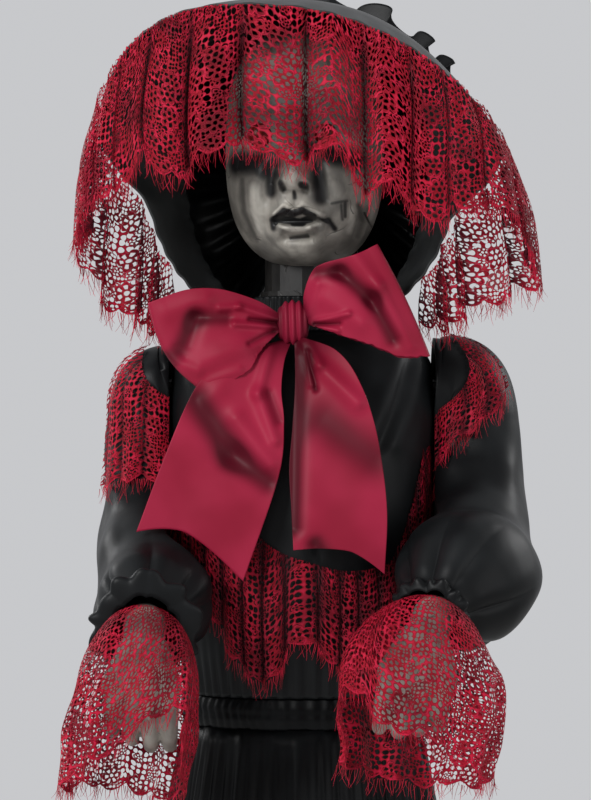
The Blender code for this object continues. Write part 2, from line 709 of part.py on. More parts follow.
def make_torso_frame():
    tee = block("shoulder_block", TEE_SIZE, (0, 0, SHOULDER_Z), BLACK_PLASTIC)
    spot = (0, NECK_PITCH)
    shelf_z = BRACKET_TOP - BRACKET_SIZE[2] / 2
    union(tee, helper(block("motor_shelf", BRACKET_SIZE, (0, BRACKET_BACK, shelf_z), BLACK_PLASTIC)))
    low, high = SHOULDER_Z - TEE_SIZE[2] / 2, BRACKET_TOP
    cut(tee, rod("spine_socket", SPINE_RADIUS + GAP, (0, 0, low - PAST), (0, 0, SPINE_TOP + GAP)))
    bar_hole = ((-TEE_SIZE[0], 0, SHOULDER_Z), (TEE_SIZE[0], 0, SHOULDER_Z))
    cut(tee, rod("bar_hole", BAR_RADIUS + GAP, *bar_hole))
    bearing = ((0, 0, high - NECK_SHAFT_SEAT), (0, 0, high + PAST))
    cut(tee, rod("neck_bearing", NECK_SHAFT_RADIUS + GAP, *bearing))
    cut(tee, rod("pinion_hole", SHAFT_HOLE, (*spot, TEE_TOP - PAST), (*spot, high + PAST)))
    turn = Matrix.Rotation(math.pi / 2, 4, "Y")
    bar_place = Matrix.Translation((-BAR_HALF_LENGTH, 0, SHOULDER_Z)) @ turn
    tube("shoulder_bar", BAR_RADIUS, BAR_WALL, 2 * BAR_HALF_LENGTH, 16, STEEL, bar_place)

    flip = Matrix.Rotation(math.pi, 4, "X")
    motor_top = TEE_TOP - GAP
    motor_place = Matrix.Translation((*spot, motor_top)) @ flip
    turned("neck_motor", motor_outline(MOTOR_LENGTH), 16, STEEL, motor_place, closed=False)
    pinion = (NECK_PINION_TEETH, NECK_MODULE, NECK_GEAR_HEIGHT, NECK_GEAR_BOTTOM)
    shaft_top = NECK_GEAR_BOTTOM + NECK_GEAR_HEIGHT - SHAFT_SINK
    facing = math.pi / NECK_PINION_TEETH - math.pi / 2
    gear("neck_pinion", *pinion, spot, facing, 0, NYLON, (MOTOR_SHAFT, motor_top - SHAFT_GRIP, shaft_top))

    arm_reach = SLEEVE_START + PAST
    arm_hole = rod("arm_hole", ARM_HOLE, (-arm_reach, 0, SHOULDER_Z), (arm_reach, 0, SHOULDER_Z))
    inset = DRESS_WALL + SHELL_ROOM
    rows = torso_rows(PLATE_BOTTOM - WAIST_Z, SHELL_TOP)
    for name, first in (("chest_shell_rear", 0.0), ("chest_shell_front", math.pi)):

        def shell(u, v, first=first):
            angle = first + SHELL_SEAM_TURN + u * (math.pi - 2 * SHELL_SEAM_TURN)
            return torso_point(angle, rows[round(v * (len(rows) - 1))], inset)

        half = sheet(name, shell, 12, len(rows) - 1, SHELL_WALL, BLACK_PLASTIC)
        cut(half, arm_hole)

    dress_rows = torso_rows(BAND_HEIGHT / 2 + SEAM, TORSO_OUTLINE[-1][0])

    def dress(u, v):
        return torso_point(u * FULL, dress_rows[round(v * (len(dress_rows) - 1))], 0)

    bodice = sheet("bodice", dress, 24, len(dress_rows) - 1, DRESS_WALL, BLACK_SATIN)
    cut(bodice, arm_hole)
    inner = COLLAR_RADIUS - COLLAR_WALL
    ring = (
        (inner, COLLAR_BOTTOM),
        (COLLAR_RADIUS + COLLAR_FOOT, COLLAR_BOTTOM),
        (COLLAR_RADIUS, COLLAR_BOTTOM + COLLAR_FOOT),
        (COLLAR_RADIUS - COLLAR_TAPER, COLLAR_TOP),
        (inner - COLLAR_TAPER, COLLAR_TOP),
    )
    turned("collar", ring, 20, BLACK_SATIN)


# Head

def head_point(turn, rise):
    """A point of the head's outside. turn is measured from straight ahead, and rise from level."""
    girth = abs(math.cos(rise)) ** HEAD_SQUARENESS
    x = HEAD_HALF_WIDTH * girth * math.sin(turn)
    y = -HEAD_HALF_DEPTH * girth * math.cos(turn)
    z = HEAD_HALF_HEIGHT * squared(math.sin(rise), HEAD_SQUARENESS)
    if math.cos(turn) > 0:
        for across, up, wide, tall, push in FACE:
            for side in {across, -across}:
                falloff = ((x - side) / wide) ** 2 + ((z - up) / tall) ** 2
                y -= push * math.exp(-falloff) * math.cos(turn)
    return Vector((x, y, z)) + HEAD_CENTRE


def make_head():
    stem_low = NECK_STEM_BOTTOM
    shaft_low = BRACKET_TOP - NECK_SHAFT_SEAT + GAP
    neck_low = BODICE_TOP + 0.008
    neck_top = CHIN_Z + NECK_IN_HEAD
    neck = (
        (0, shaft_low),
        (NECK_SHAFT_RADIUS, shaft_low),
        (NECK_SHAFT_RADIUS, stem_low),
        (NECK_STEM_RADIUS, stem_low),
        (NECK_STEM_RADIUS, neck_low - 0.006),
        (NECK_RADIUS - 0.003, neck_low),
        (NECK_RADIUS, FLANGE_BOTTOM),
        (NECK_FLANGE, FLANGE_BOTTOM),
        (NECK_FLANGE, FLANGE_TOP),
        (NECK_RADIUS, FLANGE_TOP),
        (NECK_RADIUS, neck_top),
        (0, neck_top),
    )
    turned("neck", neck, 20, SKIN, closed=False)
    wheel = (NECK_TEETH, NECK_MODULE, NECK_GEAR_HEIGHT, NECK_GEAR_BOTTOM)
    gear("neck_gear", *wheel, (0, 0), math.pi / 2, NECK_SHAFT_RADIUS + GAP, NYLON)

    hole = ((0, 0, CHIN_Z - NECK_FLANGE), (0, 0, CHIN_Z + NECK_IN_HEAD + PAST))
    neck_hole = rod("neck_hole", NECK_RADIUS + GAP, *hole, sides=32)
    halves = (("face_mask", -math.pi / 2, 16, 16), ("head_back", math.pi / 2, 10, 7))
    for name, first, across, along in halves:

        def skull(u, v, first=first):
            point = head_point(first + u * math.pi, (v - 0.5) * math.pi)
            point.y -= math.copysign(HEAD_SEAM, -first)
            return point

        half = sheet(name, skull, across, along, HEAD_WALL, SKIN)
        cut(half, neck_hole)
        rest_turn(half)
    mask = bpy.data.objects["face_mask"]
    eye_z = HEAD_Z + EYE_LIFT
    eye_turn, eye_rise = math.asin(EYE_SPACING / HEAD_HALF_WIDTH), math.asin(EYE_LIFT / HEAD_HALF_HEIGHT)
    socket_y = head_point(eye_turn, eye_rise).y
    reach = 2 * EYE_RADIUS
    forwards = Matrix.Rotation(math.pi / 2, 4, "X")
    dome = (
        (0, 0),
        (EYE_RADIUS, 0),
        (EYE_RADIUS, EYE_DEPTH * 0.62),
        (EYE_RADIUS * 0.75, EYE_DEPTH * 0.88),
        (0, EYE_DEPTH),
    )
    for side, x in (("right", -EYE_SPACING), ("left", EYE_SPACING)):
        ends = ((x, socket_y - reach, eye_z), (x, socket_y + reach, eye_z))
        hole = rod("eye_hole_" + side, EYE_RADIUS + GAP, *ends)
        rest_turn(hole)
        cut(mask, hole)
        place = Matrix.Translation((x, socket_y + EYE_DEPTH * 0.6, eye_z)) @ forwards
        rest_turn(turned("eye_" + side, dome, 16, EYE, place, closed=False))


def rest_turn(made):
    """The head is stored turned a little to the figure's right, as it is seen."""
    made.rotation_euler = (0, 0, HEAD_REST_TURN)


# Bonnet

def seam_point(angle):
    """A point of the arch where brim and crown meet. Angles run from the figure's left over the top."""
    rise = SEAM_RISE if math.sin(angle) > 0 else SEAM_DROP
    x = SEAM_HALF_WIDTH * squared(math.cos(angle), ARCH_SQUARENESS)
    return HEAD_CENTRE + Vector((x, SEAM_BACK, rise * squared(math.sin(angle), ARCH_SQUARENESS)))


def brim_edge(angle):
    """A point of the brim's front edge, which is peaked to one side of the face and lower at its ends."""
    up = max(math.sin(angle), 0)
    if up:
        x = BRIM_HALF_WIDTH * math.cos(angle) + BRIM_PEAK_SIDE * up ** 2
        z = BRIM_RISE * up ** BRIM_PEAK
    else:
        x = BRIM_HALF_WIDTH * squared(math.cos(angle), ARCH_SQUARENESS)
        z = -BRIM_DROP * abs(math.sin(angle)) ** ARCH_SQUARENESS
    height = eased((math.sin(angle) - math.sin(BRIM_START)) / (1 - math.sin(BRIM_START)))
    y = HEAD_FORWARD - BRIM_FRONT_LOW - (BRIM_FRONT - BRIM_FRONT_LOW) * height
    roll = Matrix.Rotation(BRIM_ROLL, 3, "Y")
    return HEAD_CENTRE + roll @ Vector((x, y, z))


def crown_point(angle, share):
    """A point of the crown, from its seam with the brim at 0 to the middle of its back at 1."""
    start = seam_point(angle) - HEAD_CENTRE
    swell = 1 + CROWN_SWELL / SEAM_HALF_WIDTH * math.sin(share * math.pi)
    size = math.cos(share * math.pi / 2) ** 0.6 * swell
    depth = SEAM_BACK + (CROWN_BACK - SEAM_BACK) * math.sin(share * math.pi / 2)
    return HEAD_CENTRE + Vector((start.x * size, depth, start.z * size))


def by_side(pair, angle):
    """A measure that differs between the figure's right and left."""
    return pair[0] + (pair[1] - pair[0]) * eased((1 + math.cos(angle)) / 2)


def brim_point(angle, share=1.0):
    """A point of the brim, from its seam with the crown at 0 to its front edge at 1."""
    start = seam_point(angle)
    start.y -= SEAM
    point = start.lerp(brim_edge(angle), share)
    point.z += by_side(BRIM_SWELL, angle) * math.sin(share * math.pi) * max(math.sin(angle), 0) ** 0.5
    return point


def make_bonnet():
    span = math.pi - 2 * BRIM_START

    def brim(u, v):
        return brim_point(BRIM_START + u * span, v)

    rest_turn(sheet("bonnet_brim", brim, 26, 3, BRIM_WALL, BLACK_SATIN, side=-1.0))

    def crown(u, v):
        return crown_point(CROWN_START + u * (math.pi - 2 * CROWN_START), v)

    rest_turn(sheet("bonnet_crown", crown, 24, 5, CROWN_WALL, BLACK_SATIN, side=1.0))

    def curtain(u, v):
        back = CURTAIN_FRONT + (0.94 - CURTAIN_FRONT) * v
        across = CURTAIN_EDGE + (1 - 2 * CURTAIN_EDGE) * u
        point = crown_point(CROWN_START, back).lerp(crown_point(math.pi - CROWN_START, back), across)
        hang = CURTAIN_DROP * math.sin(u * math.pi) * (1 - v)
        point.z -= hang * (0.8 + 0.2 * math.cos(u * CURTAIN_FOLDS * FULL))
        return point

    rest_turn(sheet("bonnet_curtain", curtain, CURTAIN_FOLDS * 4, 4, CURTAIN_WALL, BLACK_SATIN, side=1.0))

    def frill(u, v):
        angle = math.radians(12) + u * math.radians(156)
        base = seam_point(angle) - HEAD_CENTRE
        out = Vector((base.x, 0, base.z)).normalized()
        wave = math.sin(u * FRILL_FOLDS * FULL) * FRILL_WAVE * v
        height = by_side(FRILL_HEIGHT, angle) * v * (0.85 + 0.15 * math.cos(u * FRILL_FOLDS * FULL))
        point = seam_point(angle) + out * (CROWN_SWELL / 8 + height)
        point.y += SEAM_BACK + wave
        return point

    rest_turn(sheet("bonnet_frill", frill, FRILL_FOLDS * 4, 1, FRILL_WALL, BLACK_SATIN))

    veil_span = math.pi - 2 * VEIL_START

    def veil(u, v):
        angle = VEIL_START + u * veil_span
        top = brim_point(angle)
        out = Vector((math.cos(angle) * 0.85, -max(math.sin(angle), 0.15), 0)).normalized()
        start = top + out * (BRIM_WALL / 2)
        drop = min(VEIL_DROP, start.z - VEIL_LOWEST)
        fold = math.sin(u * VEIL_FOLDS * FULL) * VEIL_WAVE * (0.15 + 0.85 * v)
        spread = min(max(1 + 2.5 * math.sin(angle), 0), 1) * abs(math.cos(angle))
        flare = (VEIL_FLARE * spread + 0.02) * drop * v
        scallop = 0.012 * math.cos(u * VEIL_FOLDS * FULL) * v
        stand_off = VEIL_WAVE * (0.15 + 0.85 * v)
        return start + out * (flare + fold + stand_off) - Vector((0, 0, drop * v - scallop))

    rest_turn(sheet("bonnet_lace", veil, VEIL_FOLDS * 4, 3, LACE_WALL, RED_LACE))


# Bow

def ribbon_loop(name, start, tip_high, tip_low):
    """A puffed loop of ribbon from the knot to its folded outer edge."""
    start, tip_high, tip_low = Vector(start), Vector(tip_high), Vector(tip_low)
    shape = bmesh.new()
    rings = []
    stations = 7
    for index in range(stations):
        v = index / (stations - 1)
        middle = start.lerp((tip_high + tip_low) / 2, v)
        reach = (tip_high - tip_low) / 2 * (0.16 + 0.84 * eased(v * 1.15))
        puff = LOOP_THICKNESS * (0.25 + 0.75 * math.sin(min(v * 1.1, 1) * math.pi * 0.8))
        ring = []
        for step in range(14):
            angle = step / 14 * FULL
            point = middle + reach * math.cos(angle)
            point.y += puff / 2 * math.sin(angle) * (1 + 0.25 * math.cos(3 * angle))
            ring.append(shape.verts.new(point))
        rings.append([shape.edges.new(pair) for pair in zip(ring, ring[1:] + ring[:1])])
    for low, high in zip(rings, rings[1:]):
        bmesh.ops.bridge_loops(shape, edges=low + high)
    bmesh.ops.holes_fill(shape, edges=[edge for edge in shape.edges if edge.is_boundary])
    bmesh.ops.recalc_face_normals(shape, faces=shape.faces)
    return placed(name, shape, RED_SATIN)


def ribbon_tail(name, route, widths, lean):
    """A flat tail with a notched end that hangs from the knot."""

    def bend(u, v):
        point = through(route, v)
        width = between(widths, v)[0]
        notch = TAIL_NOTCH * eased(v * 4 - 3) * (1 - abs(2 * u - 1))
        point += Vector((width * (u - 0.5), 0, notch + lean * (u - 0.5) * v))
        point.y += TAIL_CURL * math.cos(u * FULL * 1.5) * min(v, 0.5)
        return point

    return sheet(name, bend, 6, 7, RIBBON_WALL, RED_SATIN)


def make_bow():
    knot_z = WAIST_Z + KNOT_LIFT
    y = -KNOT_FORWARD
    shape = bmesh.new()
    bmesh.ops.create_uvsphere(shape, u_segments=12, v_segments=7, radius=0.5)
    bmesh.ops.scale(shape, vec=KNOT_SIZE, verts=shape.verts)
    knot = placed("bow_knot", shape, RED_SATIN, Matrix.Translation((KNOT_SIDE, y, knot_z)))
    pin_z = knot_z + 0.004
    collar_front = (KNOT_SIDE / 2, -COLLAR_RADIUS - 0.0002, pin_z)
    union(knot, rod("bow_pin", BOW_PIN_RADIUS, (KNOT_SIDE, y, pin_z), collar_front))
    centre = Vector((KNOT_SIDE, y, knot_z))
    under = centre - Vector((0, 0, KNOT_SIZE[2] / 2 + GAP))
    for side, flip in (("right", -1), ("left", 1)):
        start = centre + Vector((flip * (KNOT_SIZE[0] / 2 + LOOP_GAPS[side]), 0, 0))
        high, low = (centre + Vector(step) for step in LOOP_TIPS[side])
        ribbon_loop("bow_loop_" + side, start, high, low)
        route = [under + Vector(step) for step in TAIL_ROUTES[side]]
        ribbon_tail("bow_tail_" + side, route, TAIL_WIDTHS[side], TAIL_LEAN[side])


# Dress trimmings and skirt

def make_dress():
    def waist_lace(u, v):
        angle = -math.pi / 2 + (u - 0.5) * 2 * WAIST_LACE_HALF_TURN
        aside = abs(2 * u - 1)
        top = WAIST_LACE_TOP + WAIST_LACE_SIDE_RISE * max(2 * aside - 1, 0) ** 1.3
        height = top - WAIST_LACE_DROP * v * (1 - 0.35 * aside ** 2)
        point = torso_point(angle, height, -SEAM)
        out = Vector((math.cos(angle), math.sin(angle), 0))
        wave = WAIST_LACE_WAVE * (1 + math.sin(u * WAIST_LACE_FOLDS * FULL)) * (0.1 + 0.9 * v)
        return point + out * (wave + 0.003 * v)

    sheet("waist_lace", waist_lace, WAIST_LACE_FOLDS * 4, 3, LACE_WALL, RED_LACE)

    half_width, half_depth = between(TORSO_OUTLINE, 0)
    low, high = WAIST_Z - BAND_HEIGHT / 2, WAIST_Z + BAND_HEIGHT / 2

    def band(u, v):
        angle = u * FULL
        x = (half_width + SEAM) * squared(math.cos(angle), TORSO_SQUARENESS)
        y = (half_depth + SEAM) * squared(math.sin(angle), TORSO_SQUARENESS)
        return Vector((x, y, low + (high - low) * v))

    sheet("waistband", band, 24, 1, BAND_WALL, BLACK_SATIN, side=0.6)
    top = low - SEAM

    def skirt(u, v):
        angle = u * FULL
        spread = eased(v * 0.75) / eased(0.75) * 0.35 + 0.65 * v
        wide = half_width + (SKIRT_HALF_WIDTH - half_width) * spread
        deep = half_depth + (SKIRT_HALF_DEPTH - half_depth) * spread
        fold = SKIRT_WAVE * (0.12 + 0.88 * v) * math.cos(angle * SKIRT_FOLDS + 0.6 * math.sin(angle * 2))
        out = Vector((math.cos(angle), math.sin(angle), 0))
        x = wide * squared(math.cos(angle), TORSO_SQUARENESS + (1 - TORSO_SQUARENESS) * v)
        y = deep * squared(math.sin(angle), TORSO_SQUARENESS + (1 - TORSO_SQUARENESS) * v)
        return Vector((x, y, top - (top - HEM_CLEARANCE) * v)) + out * fold

    sheet("skirt", skirt, SKIRT_FOLDS * 4, 4, SKIRT_WALL, BLACK_SATIN, side=1.0)


# Arms

# Each route is measured from the shoulder pivot, with sideways counted outwards.
ARM_ROUTES = {
    "left": (
        (0.131, 0, 0),
        (0.156, 0, -0.006),
        (0.168, -0.001, -0.045),
        (0.171, -0.004, -0.100),
        (0.171, -0.020, -0.150),
        (0.166, -0.065, -0.176),
        (0.148, -0.130, -0.194),
        (0.120, -0.200, -0.212),
        (0.112, -0.222, -0.217),
    ),
    "right": (
        (0.131, 0, 0),
        (0.146, 0, -0.008),
        (0.150, -0.001, -0.045),
        (0.152, -0.004, -0.100),
        (0.153, -0.020, -0.150),
        (0.153, -0.065, -0.178),
        (0.150, -0.130, -0.200),
        (0.146, -0.200, -0.220),
        (0.144, -0.222, -0.226),
    ),
}
SLEEVE_RADII = (
    (0.0, 0.045),
    (0.10, 0.050),
    (0.25, 0.048),
    (0.45, 0.046),
    (0.60, 0.054),
    (0.70, 0.058),
    (0.78, 0.054),
    (0.857, GATHER_RADIUS),
    (0.929, 0.047),
    (1.0, 0.058),
)
HAND_AIM = {"left": Vector((-0.30, -0.80, -0.46)), "right": Vector((0.0, -0.82, -0.50))}
CUFF_AIM = {"left": Vector((-0.08, -0.76, -0.60)), "right": Vector((-0.05, -0.74, -0.66))}
CUFF_HALF_WIDTH = {"left": 0.076, "right": 0.066}


def arm_point(side, share):
    flip = 1 if side == "left" else -1
    point = through(ARM_ROUTES[side], share)
    return Vector((flip * point.x, point.y, SHOULDER_Z + point.z))


def arm_frames(side, count):
    """Stations along the arm: a centre and two directions across it that don't twist."""
    frames = []
    across = Vector((0, -1, 0))
    for index in range(count + 1):
        share = index / count
        step = 0.01
        ahead = arm_point(side, min(share + step, 1)) - arm_point(side, max(share - step, 0))
        ahead.normalize()
        if index == 0:
            ahead = Vector((1 if side == "left" else -1, 0, 0))
        across = (across - ahead * across.dot(ahead)).normalized()
        frames.append((arm_point(side, share), across.copy(), ahead.cross(across)))
    return frames


def sleeve_point(frames, u, v, grow, folds):
    centre, across, over = frames[round(v * (len(frames) - 1))]
    radius = between(SLEEVE_RADII, v)[0] + grow
    angle = u * FULL
    depth = folds * eased((v - 0.5) * 3) * (0.5 + 0.5 * math.cos(angle * SLEEVE_FOLDS))
    radius -= depth * (radius - GATHER_RADIUS) * 0.35
    point = centre + (across * math.cos(angle) + over * math.sin(angle)) * radius
    beside = SLEEVE_START * (1 - eased((v - 0.68) * 5))
    return Vector((math.copysign(max(abs(point.x), beside), centre.x), point.y, point.z))


def hand_shape(side, wrist, forearm):
    """A relaxed hand of rounded limbs laid over each other, from the wrist towards the fingertips."""
    thumb = -1 if side == "left" else 1
    aim = HAND_AIM[side].normalized()
    sideways = Vector((thumb, 0, 0))
    sideways = (sideways - aim * sideways.dot(aim)).normalized()
    back = sideways.cross(aim) * thumb
    back = back if back.z > 0 else -back
    shape = bmesh.new()

    def limb(start, end, first, last):
        run = end - start
        size = {"radius1": first, "radius2": last, "depth": run.length}
        made = bmesh.ops.create_cone(shape, cap_ends=True, segments=12, **size)
        turn = run.to_track_quat("Z", "Y").to_matrix().to_4x4()
        place = Matrix.Translation((start + end) / 2) @ turn
        bmesh.ops.transform(shape, matrix=place, verts=made["verts"])
        for spot, radius in ((start, first), (end, last)):
            ball = bmesh.ops.create_icosphere(shape, subdivisions=2, radius=radius)
            bmesh.ops.translate(shape, vec=spot, verts=ball["verts"])

    def placed_from(spot, step):
        return spot + sideways * step[0] + aim * step[1] + back * step[2]

    palm = wrist + aim * PALM_REACH
    limb(wrist - forearm * (HAND_STUB - WRIST_RADIUS), palm, WRIST_RADIUS, WRIST_RADIUS * 0.95)
    for finger in range(4):
        spread = (finger - 1.5) * FINGER_PITCH
        root = palm + aim * (FINGER_ROOT - FINGER_STAGGER * abs(finger - 1.2)) - sideways * spread
        limb(palm - sideways * spread * 0.40, root, *KNUCKLE_RADII)
        point, bend = root, 0.25
        for length, radius, curl in FINGER_BONES:
            bend += curl * (1 + 0.12 * finger)
            step = (aim * math.cos(bend - 0.45) - back * math.sin(bend - 0.45)) * length
            limb(point, point + step, radius, radius * 0.9)
            point = point + step
    thumb_root = placed_from(palm, THUMB_ROOT)
    knuckle = placed_from(thumb_root, THUMB_KNUCKLE)
    limb(thumb_root, knuckle, *THUMB_RADII[0])
    limb(knuckle, placed_from(knuckle, THUMB_TIP), *THUMB_RADII[1])
    return shape


def make_arm(side):
    flip = 1 if side == "left" else -1
    pivot = Vector((0, 0, SHOULDER_Z))
    stations = 14
    frames = arm_frames(side, stations)
    elbow_end, wrist = arm_point(side, GRIP_START), arm_point(side, GRIP_END)
    forearm = (wrist - elbow_end).normalized()

    curve = bpy.data.curves.new("arm_tube_" + side, "CURVE")
    curve.dimensions = "3D"
    curve.bevel_depth = ARM_TUBE_RADIUS
    curve.bevel_resolution = 2
    curve.use_fill_caps = True
    spline = curve.splines.new("POLY")
    route = [Vector((flip * ARM_START, 0, SHOULDER_Z))]
    route += [arm_point(side, index / 10 * GRIP_START) for index in range(11)] + [wrist]
    spline.points.add(len(route) - 1)
    for point, place in zip(spline.points, route):
        point.co = (*(place - pivot), 1.0)
    curve.materials.append(BLACK_PLASTIC)
    arm = bpy.data.objects.new("arm_tube_" + side, curve)
    arm.location = pivot
    bpy.context.scene.collection.objects.link(arm)

    def sleeve(u, v):
        return sleeve_point(frames, u, v, 0, 1)

    sheet("sleeve_" + side, sleeve, 14, stations, SLEEVE_WALL, BLACK_SATIN, origin=pivot)

    lace = SHOULDER_LACE[side]
    lace_frames = arm_frames(side, stations * 8)

    def shoulder_lace(u, v):
        seam, hem = (lace[edge][0] + (lace[edge][1] - lace[edge][0]) * u for edge in ("seam", "hem"))
        turn = flip * (lace["turn"][0] + (lace["turn"][1] - lace["turn"][0]) * u)
        fold = 1 + math.sin(u * SHOULDER_LACE_FOLDS * FULL)
        ripple = SHOULDER_LACE_WAVE * fold * (0.2 + 0.8 * v)
        return sleeve_point(lace_frames, turn, seam + (hem - seam) * v, SHOULDER_LACE_ROOM + ripple, 0)

    outwards = -1.0 if side == "left" else 1.0
    steps = SHOULDER_LACE_FOLDS * 4
    sheet("shoulder_lace_" + side, shoulder_lace, steps, 4, LACE_WALL, RED_LACE, outwards, pivot)

    shape = hand_shape(side, wrist, forearm)
    hand = placed("hand_" + side, shape, SKIN, None, pivot)
    skin = hand.modifiers.new("Skin", "REMESH")
    skin.mode = "VOXEL"
    skin.voxel_size = HAND_VOXEL
    fewer = hand.modifiers.new("Fewer", "DECIMATE")
    fewer.ratio = HAND_KEEP
    bore = (elbow_end - forearm * PAST, wrist + forearm * GAP)
    cut(hand, rod("hand_bore_" + side, ARM_TUBE_RADIUS + GAP, *bore))

    aim = CUFF_AIM[side].normalized()
    start = wrist + forearm * 0.004
    fall = (
        start,
        start + forearm * 0.014 + aim * CUFF_LENGTH * 0.30,
        start + aim * CUFF_LENGTH * 0.68,
        start + aim * CUFF_LENGTH,
    )

    def cuff(u, v):
        angle = u * FULL
        run = (through(fall, min(v + 0.02, 1)) - through(fall, max(v - 0.02, 0))).normalized()
        across = (Vector((1, 0, 0)) - run * run.x).normalized()
        over = run.cross(across)
        grown = math.sin(v * math.pi / 2) ** 0.8
        wave = CUFF_WAVE * v * math.cos(angle * CUFF_FOLDS)
        wide = CUFF_START + (CUFF_HALF_WIDTH[side] - CUFF_START) * grown + wave
        tall = CUFF_START + (CUFF_HALF_HEIGHT - CUFF_START) * grown + wave
        middle = through(fall, v) + Vector((0, 0, -0.012 * v))
        return middle + across * math.cos(angle) * wide + over * math.sin(angle) * tall

    sheet("lace_cuff_" + side, cuff, CUFF_FOLDS * 4, 3, LACE_WALL, RED_LACE, side=1.0, origin=pivot)


make_stand()
make_control_box()
make_waist_drive()
make_torso_frame()
make_head()
make_bonnet()
make_bow()
make_dress()
for arm_side in ("left", "right"):
    make_arm(arm_side)
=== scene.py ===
import json
import random
from math import copysign, cos, exp, hypot, pi, radians, sin

import bmesh
import bpy
from mathutils import Matrix, Vector, noise


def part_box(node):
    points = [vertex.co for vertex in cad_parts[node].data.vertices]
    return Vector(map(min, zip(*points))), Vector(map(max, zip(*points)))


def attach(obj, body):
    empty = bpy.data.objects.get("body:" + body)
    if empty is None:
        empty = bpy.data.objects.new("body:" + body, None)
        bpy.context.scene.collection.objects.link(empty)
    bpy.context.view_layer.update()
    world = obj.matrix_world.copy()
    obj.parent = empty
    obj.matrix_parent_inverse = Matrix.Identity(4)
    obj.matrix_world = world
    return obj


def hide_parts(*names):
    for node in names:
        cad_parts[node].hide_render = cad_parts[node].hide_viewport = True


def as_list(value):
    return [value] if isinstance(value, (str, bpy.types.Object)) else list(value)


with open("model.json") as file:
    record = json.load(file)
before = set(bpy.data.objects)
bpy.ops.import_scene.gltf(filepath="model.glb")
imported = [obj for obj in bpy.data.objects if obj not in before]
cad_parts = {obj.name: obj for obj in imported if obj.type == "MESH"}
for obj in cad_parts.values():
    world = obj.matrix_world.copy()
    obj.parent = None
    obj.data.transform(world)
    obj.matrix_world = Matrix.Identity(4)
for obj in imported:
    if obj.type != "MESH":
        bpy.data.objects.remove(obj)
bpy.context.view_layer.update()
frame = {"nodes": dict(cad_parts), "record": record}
nodes = frame["nodes"]
fullTurn = 2 * pi
signOf = {"left": 1, "right": -1}
mergeDistance = 0.000002
print("frame loaded")


# Tables give lengths in millimetres, and these turn them into metres

def metres(*rows):
    return [[value / 1000 for value in row] for row in rows]


def shareRows(*rows):  # a share of the way comes first
    return [[row[0], *(value / 1000 for value in row[1:])] for row in rows]


def strokeRows(*rows):  # how strong it is comes last
    return [[*(value / 1000 for value in row[:-1]), row[-1]] for row in rows]


# Measures that several pieces share, as the solids have them

figure = {
    "waistZ": 0.9867,
    "shoulderZ": 1.3017,
    "squareness": 0.85,
    "seam": 0.0005,
    "waist": metres(  # height over the waist, half width, half depth
        (-12, 115, 94), (50, 120, 100), (120, 125, 108),
    ),
    "blouse": metres(  # the same for the gathered satin, fuller beside the arms and over the shoulders
        (-12, 115.5, 94.5), (40, 119.5, 99), (90, 126.5, 106), (150, 130, 111.5), (220, 130, 111.5),
        (280, 128.8, 101), (320, 128.5, 87), (340, 127, 76), (355, 113, 67.5), (364, 86, 60.5),
        (370, 54, 56.5),
    ),
    "bandHeight": 0.03,
}
head = {
    "centre": Vector((0.005, -0.02, 1.5397)),
    "halfWidth": 0.0785,
    "halfDepth": 0.094,
    "halfHeight": 0.118,
    "squareness": 0.76,
    "turn": radians(-6),
}
headTurn = Matrix.Rotation(head["turn"], 4, "Z")


def eased(value):
    value = min(max(value, 0.0), 1.0)
    return value * value * (3 - 2 * value)


def squared(value, power):
    return copysign(abs(value) ** power, value)


def hump(value, middle, spread):
    return exp(-((value - middle) / spread) ** 2)


def slopeAt(table, row, column):
    low, high = max(row - 1, 0), min(row + 1, len(table) - 1)
    return (table[high][column] - table[low][column]) / (table[high][0] - table[low][0])


def between(table, place):  # a smooth reading of a table of (place, value, value...) rows
    if place <= table[0][0]:
        return list(table[0][1:])
    if place >= table[-1][0]:
        return list(table[-1][1:])
    row = next(index for index in range(1, len(table)) if place <= table[index][0])
    width = table[row][0] - table[row - 1][0]
    t = (place - table[row - 1][0]) / width
    found = []
    for column in range(1, len(table[0])):
        first, last = table[row - 1][column], table[row][column]
        rise, fall = slopeAt(table, row - 1, column) * width, slopeAt(table, row, column) * width
        cubic = (2 * t ** 3 - 3 * t ** 2 + 1) * first + (t ** 3 - 2 * t ** 2 + t) * rise
        found.append(cubic + (3 * t ** 2 - 2 * t ** 3) * last + (t ** 3 - t ** 2) * fall)
    return found


def through(points, share):  # a smooth curve through the points, read at a share of the way along
    spans = len(points) - 1
    at = min(int(share * spans), spans - 1)
    t = share * spans - at
    p1, p2 = Vector(points[at]), Vector(points[at + 1])
    p0 = Vector(points[at - 1]) if at else p1 * 2 - p2
    p3 = Vector(points[at + 2]) if at + 2 <= spans else p2 * 2 - p1
    square = 2 * p0 - 5 * p1 + 4 * p2 - p3
    cube = 3 * p1 - p0 - 3 * p2 + p3
    return 0.5 * (2 * p1 + (p2 - p0) * t + square * t ** 2 + cube * t ** 3)


def rough(x, y, z, seed=0.0):  # smooth noise from -1 to 1
    return noise.noise(Vector((x + seed * 7.3, y - seed * 3.1, z + seed * 1.7)))


def stroked(x, z, strokes, power=2, joined=sum):
    # What soft strokes do at a spot. Each is the x and z of its two ends, its spread and its height.
    found = [0.0]
    for x1, z1, x2, z2, spread, height in strokes:
        alongX, alongZ = x2 - x1, z2 - z1
        run = alongX ** 2 + alongZ ** 2
        share = min(max(((x - x1) * alongX + (z - z1) * alongZ) / run, 0), 1) if run else 0
        gap = hypot(x - x1 - alongX * share, z - z1 - alongZ * share)
        if gap < spread * 3:
            found.append(height * exp(-(gap / spread) ** power))
    return joined(found)


def pleat(phase):  # 0 in a narrow valley, 1 on a broad ridge
    return abs(sin(phase / 2)) ** 0.6


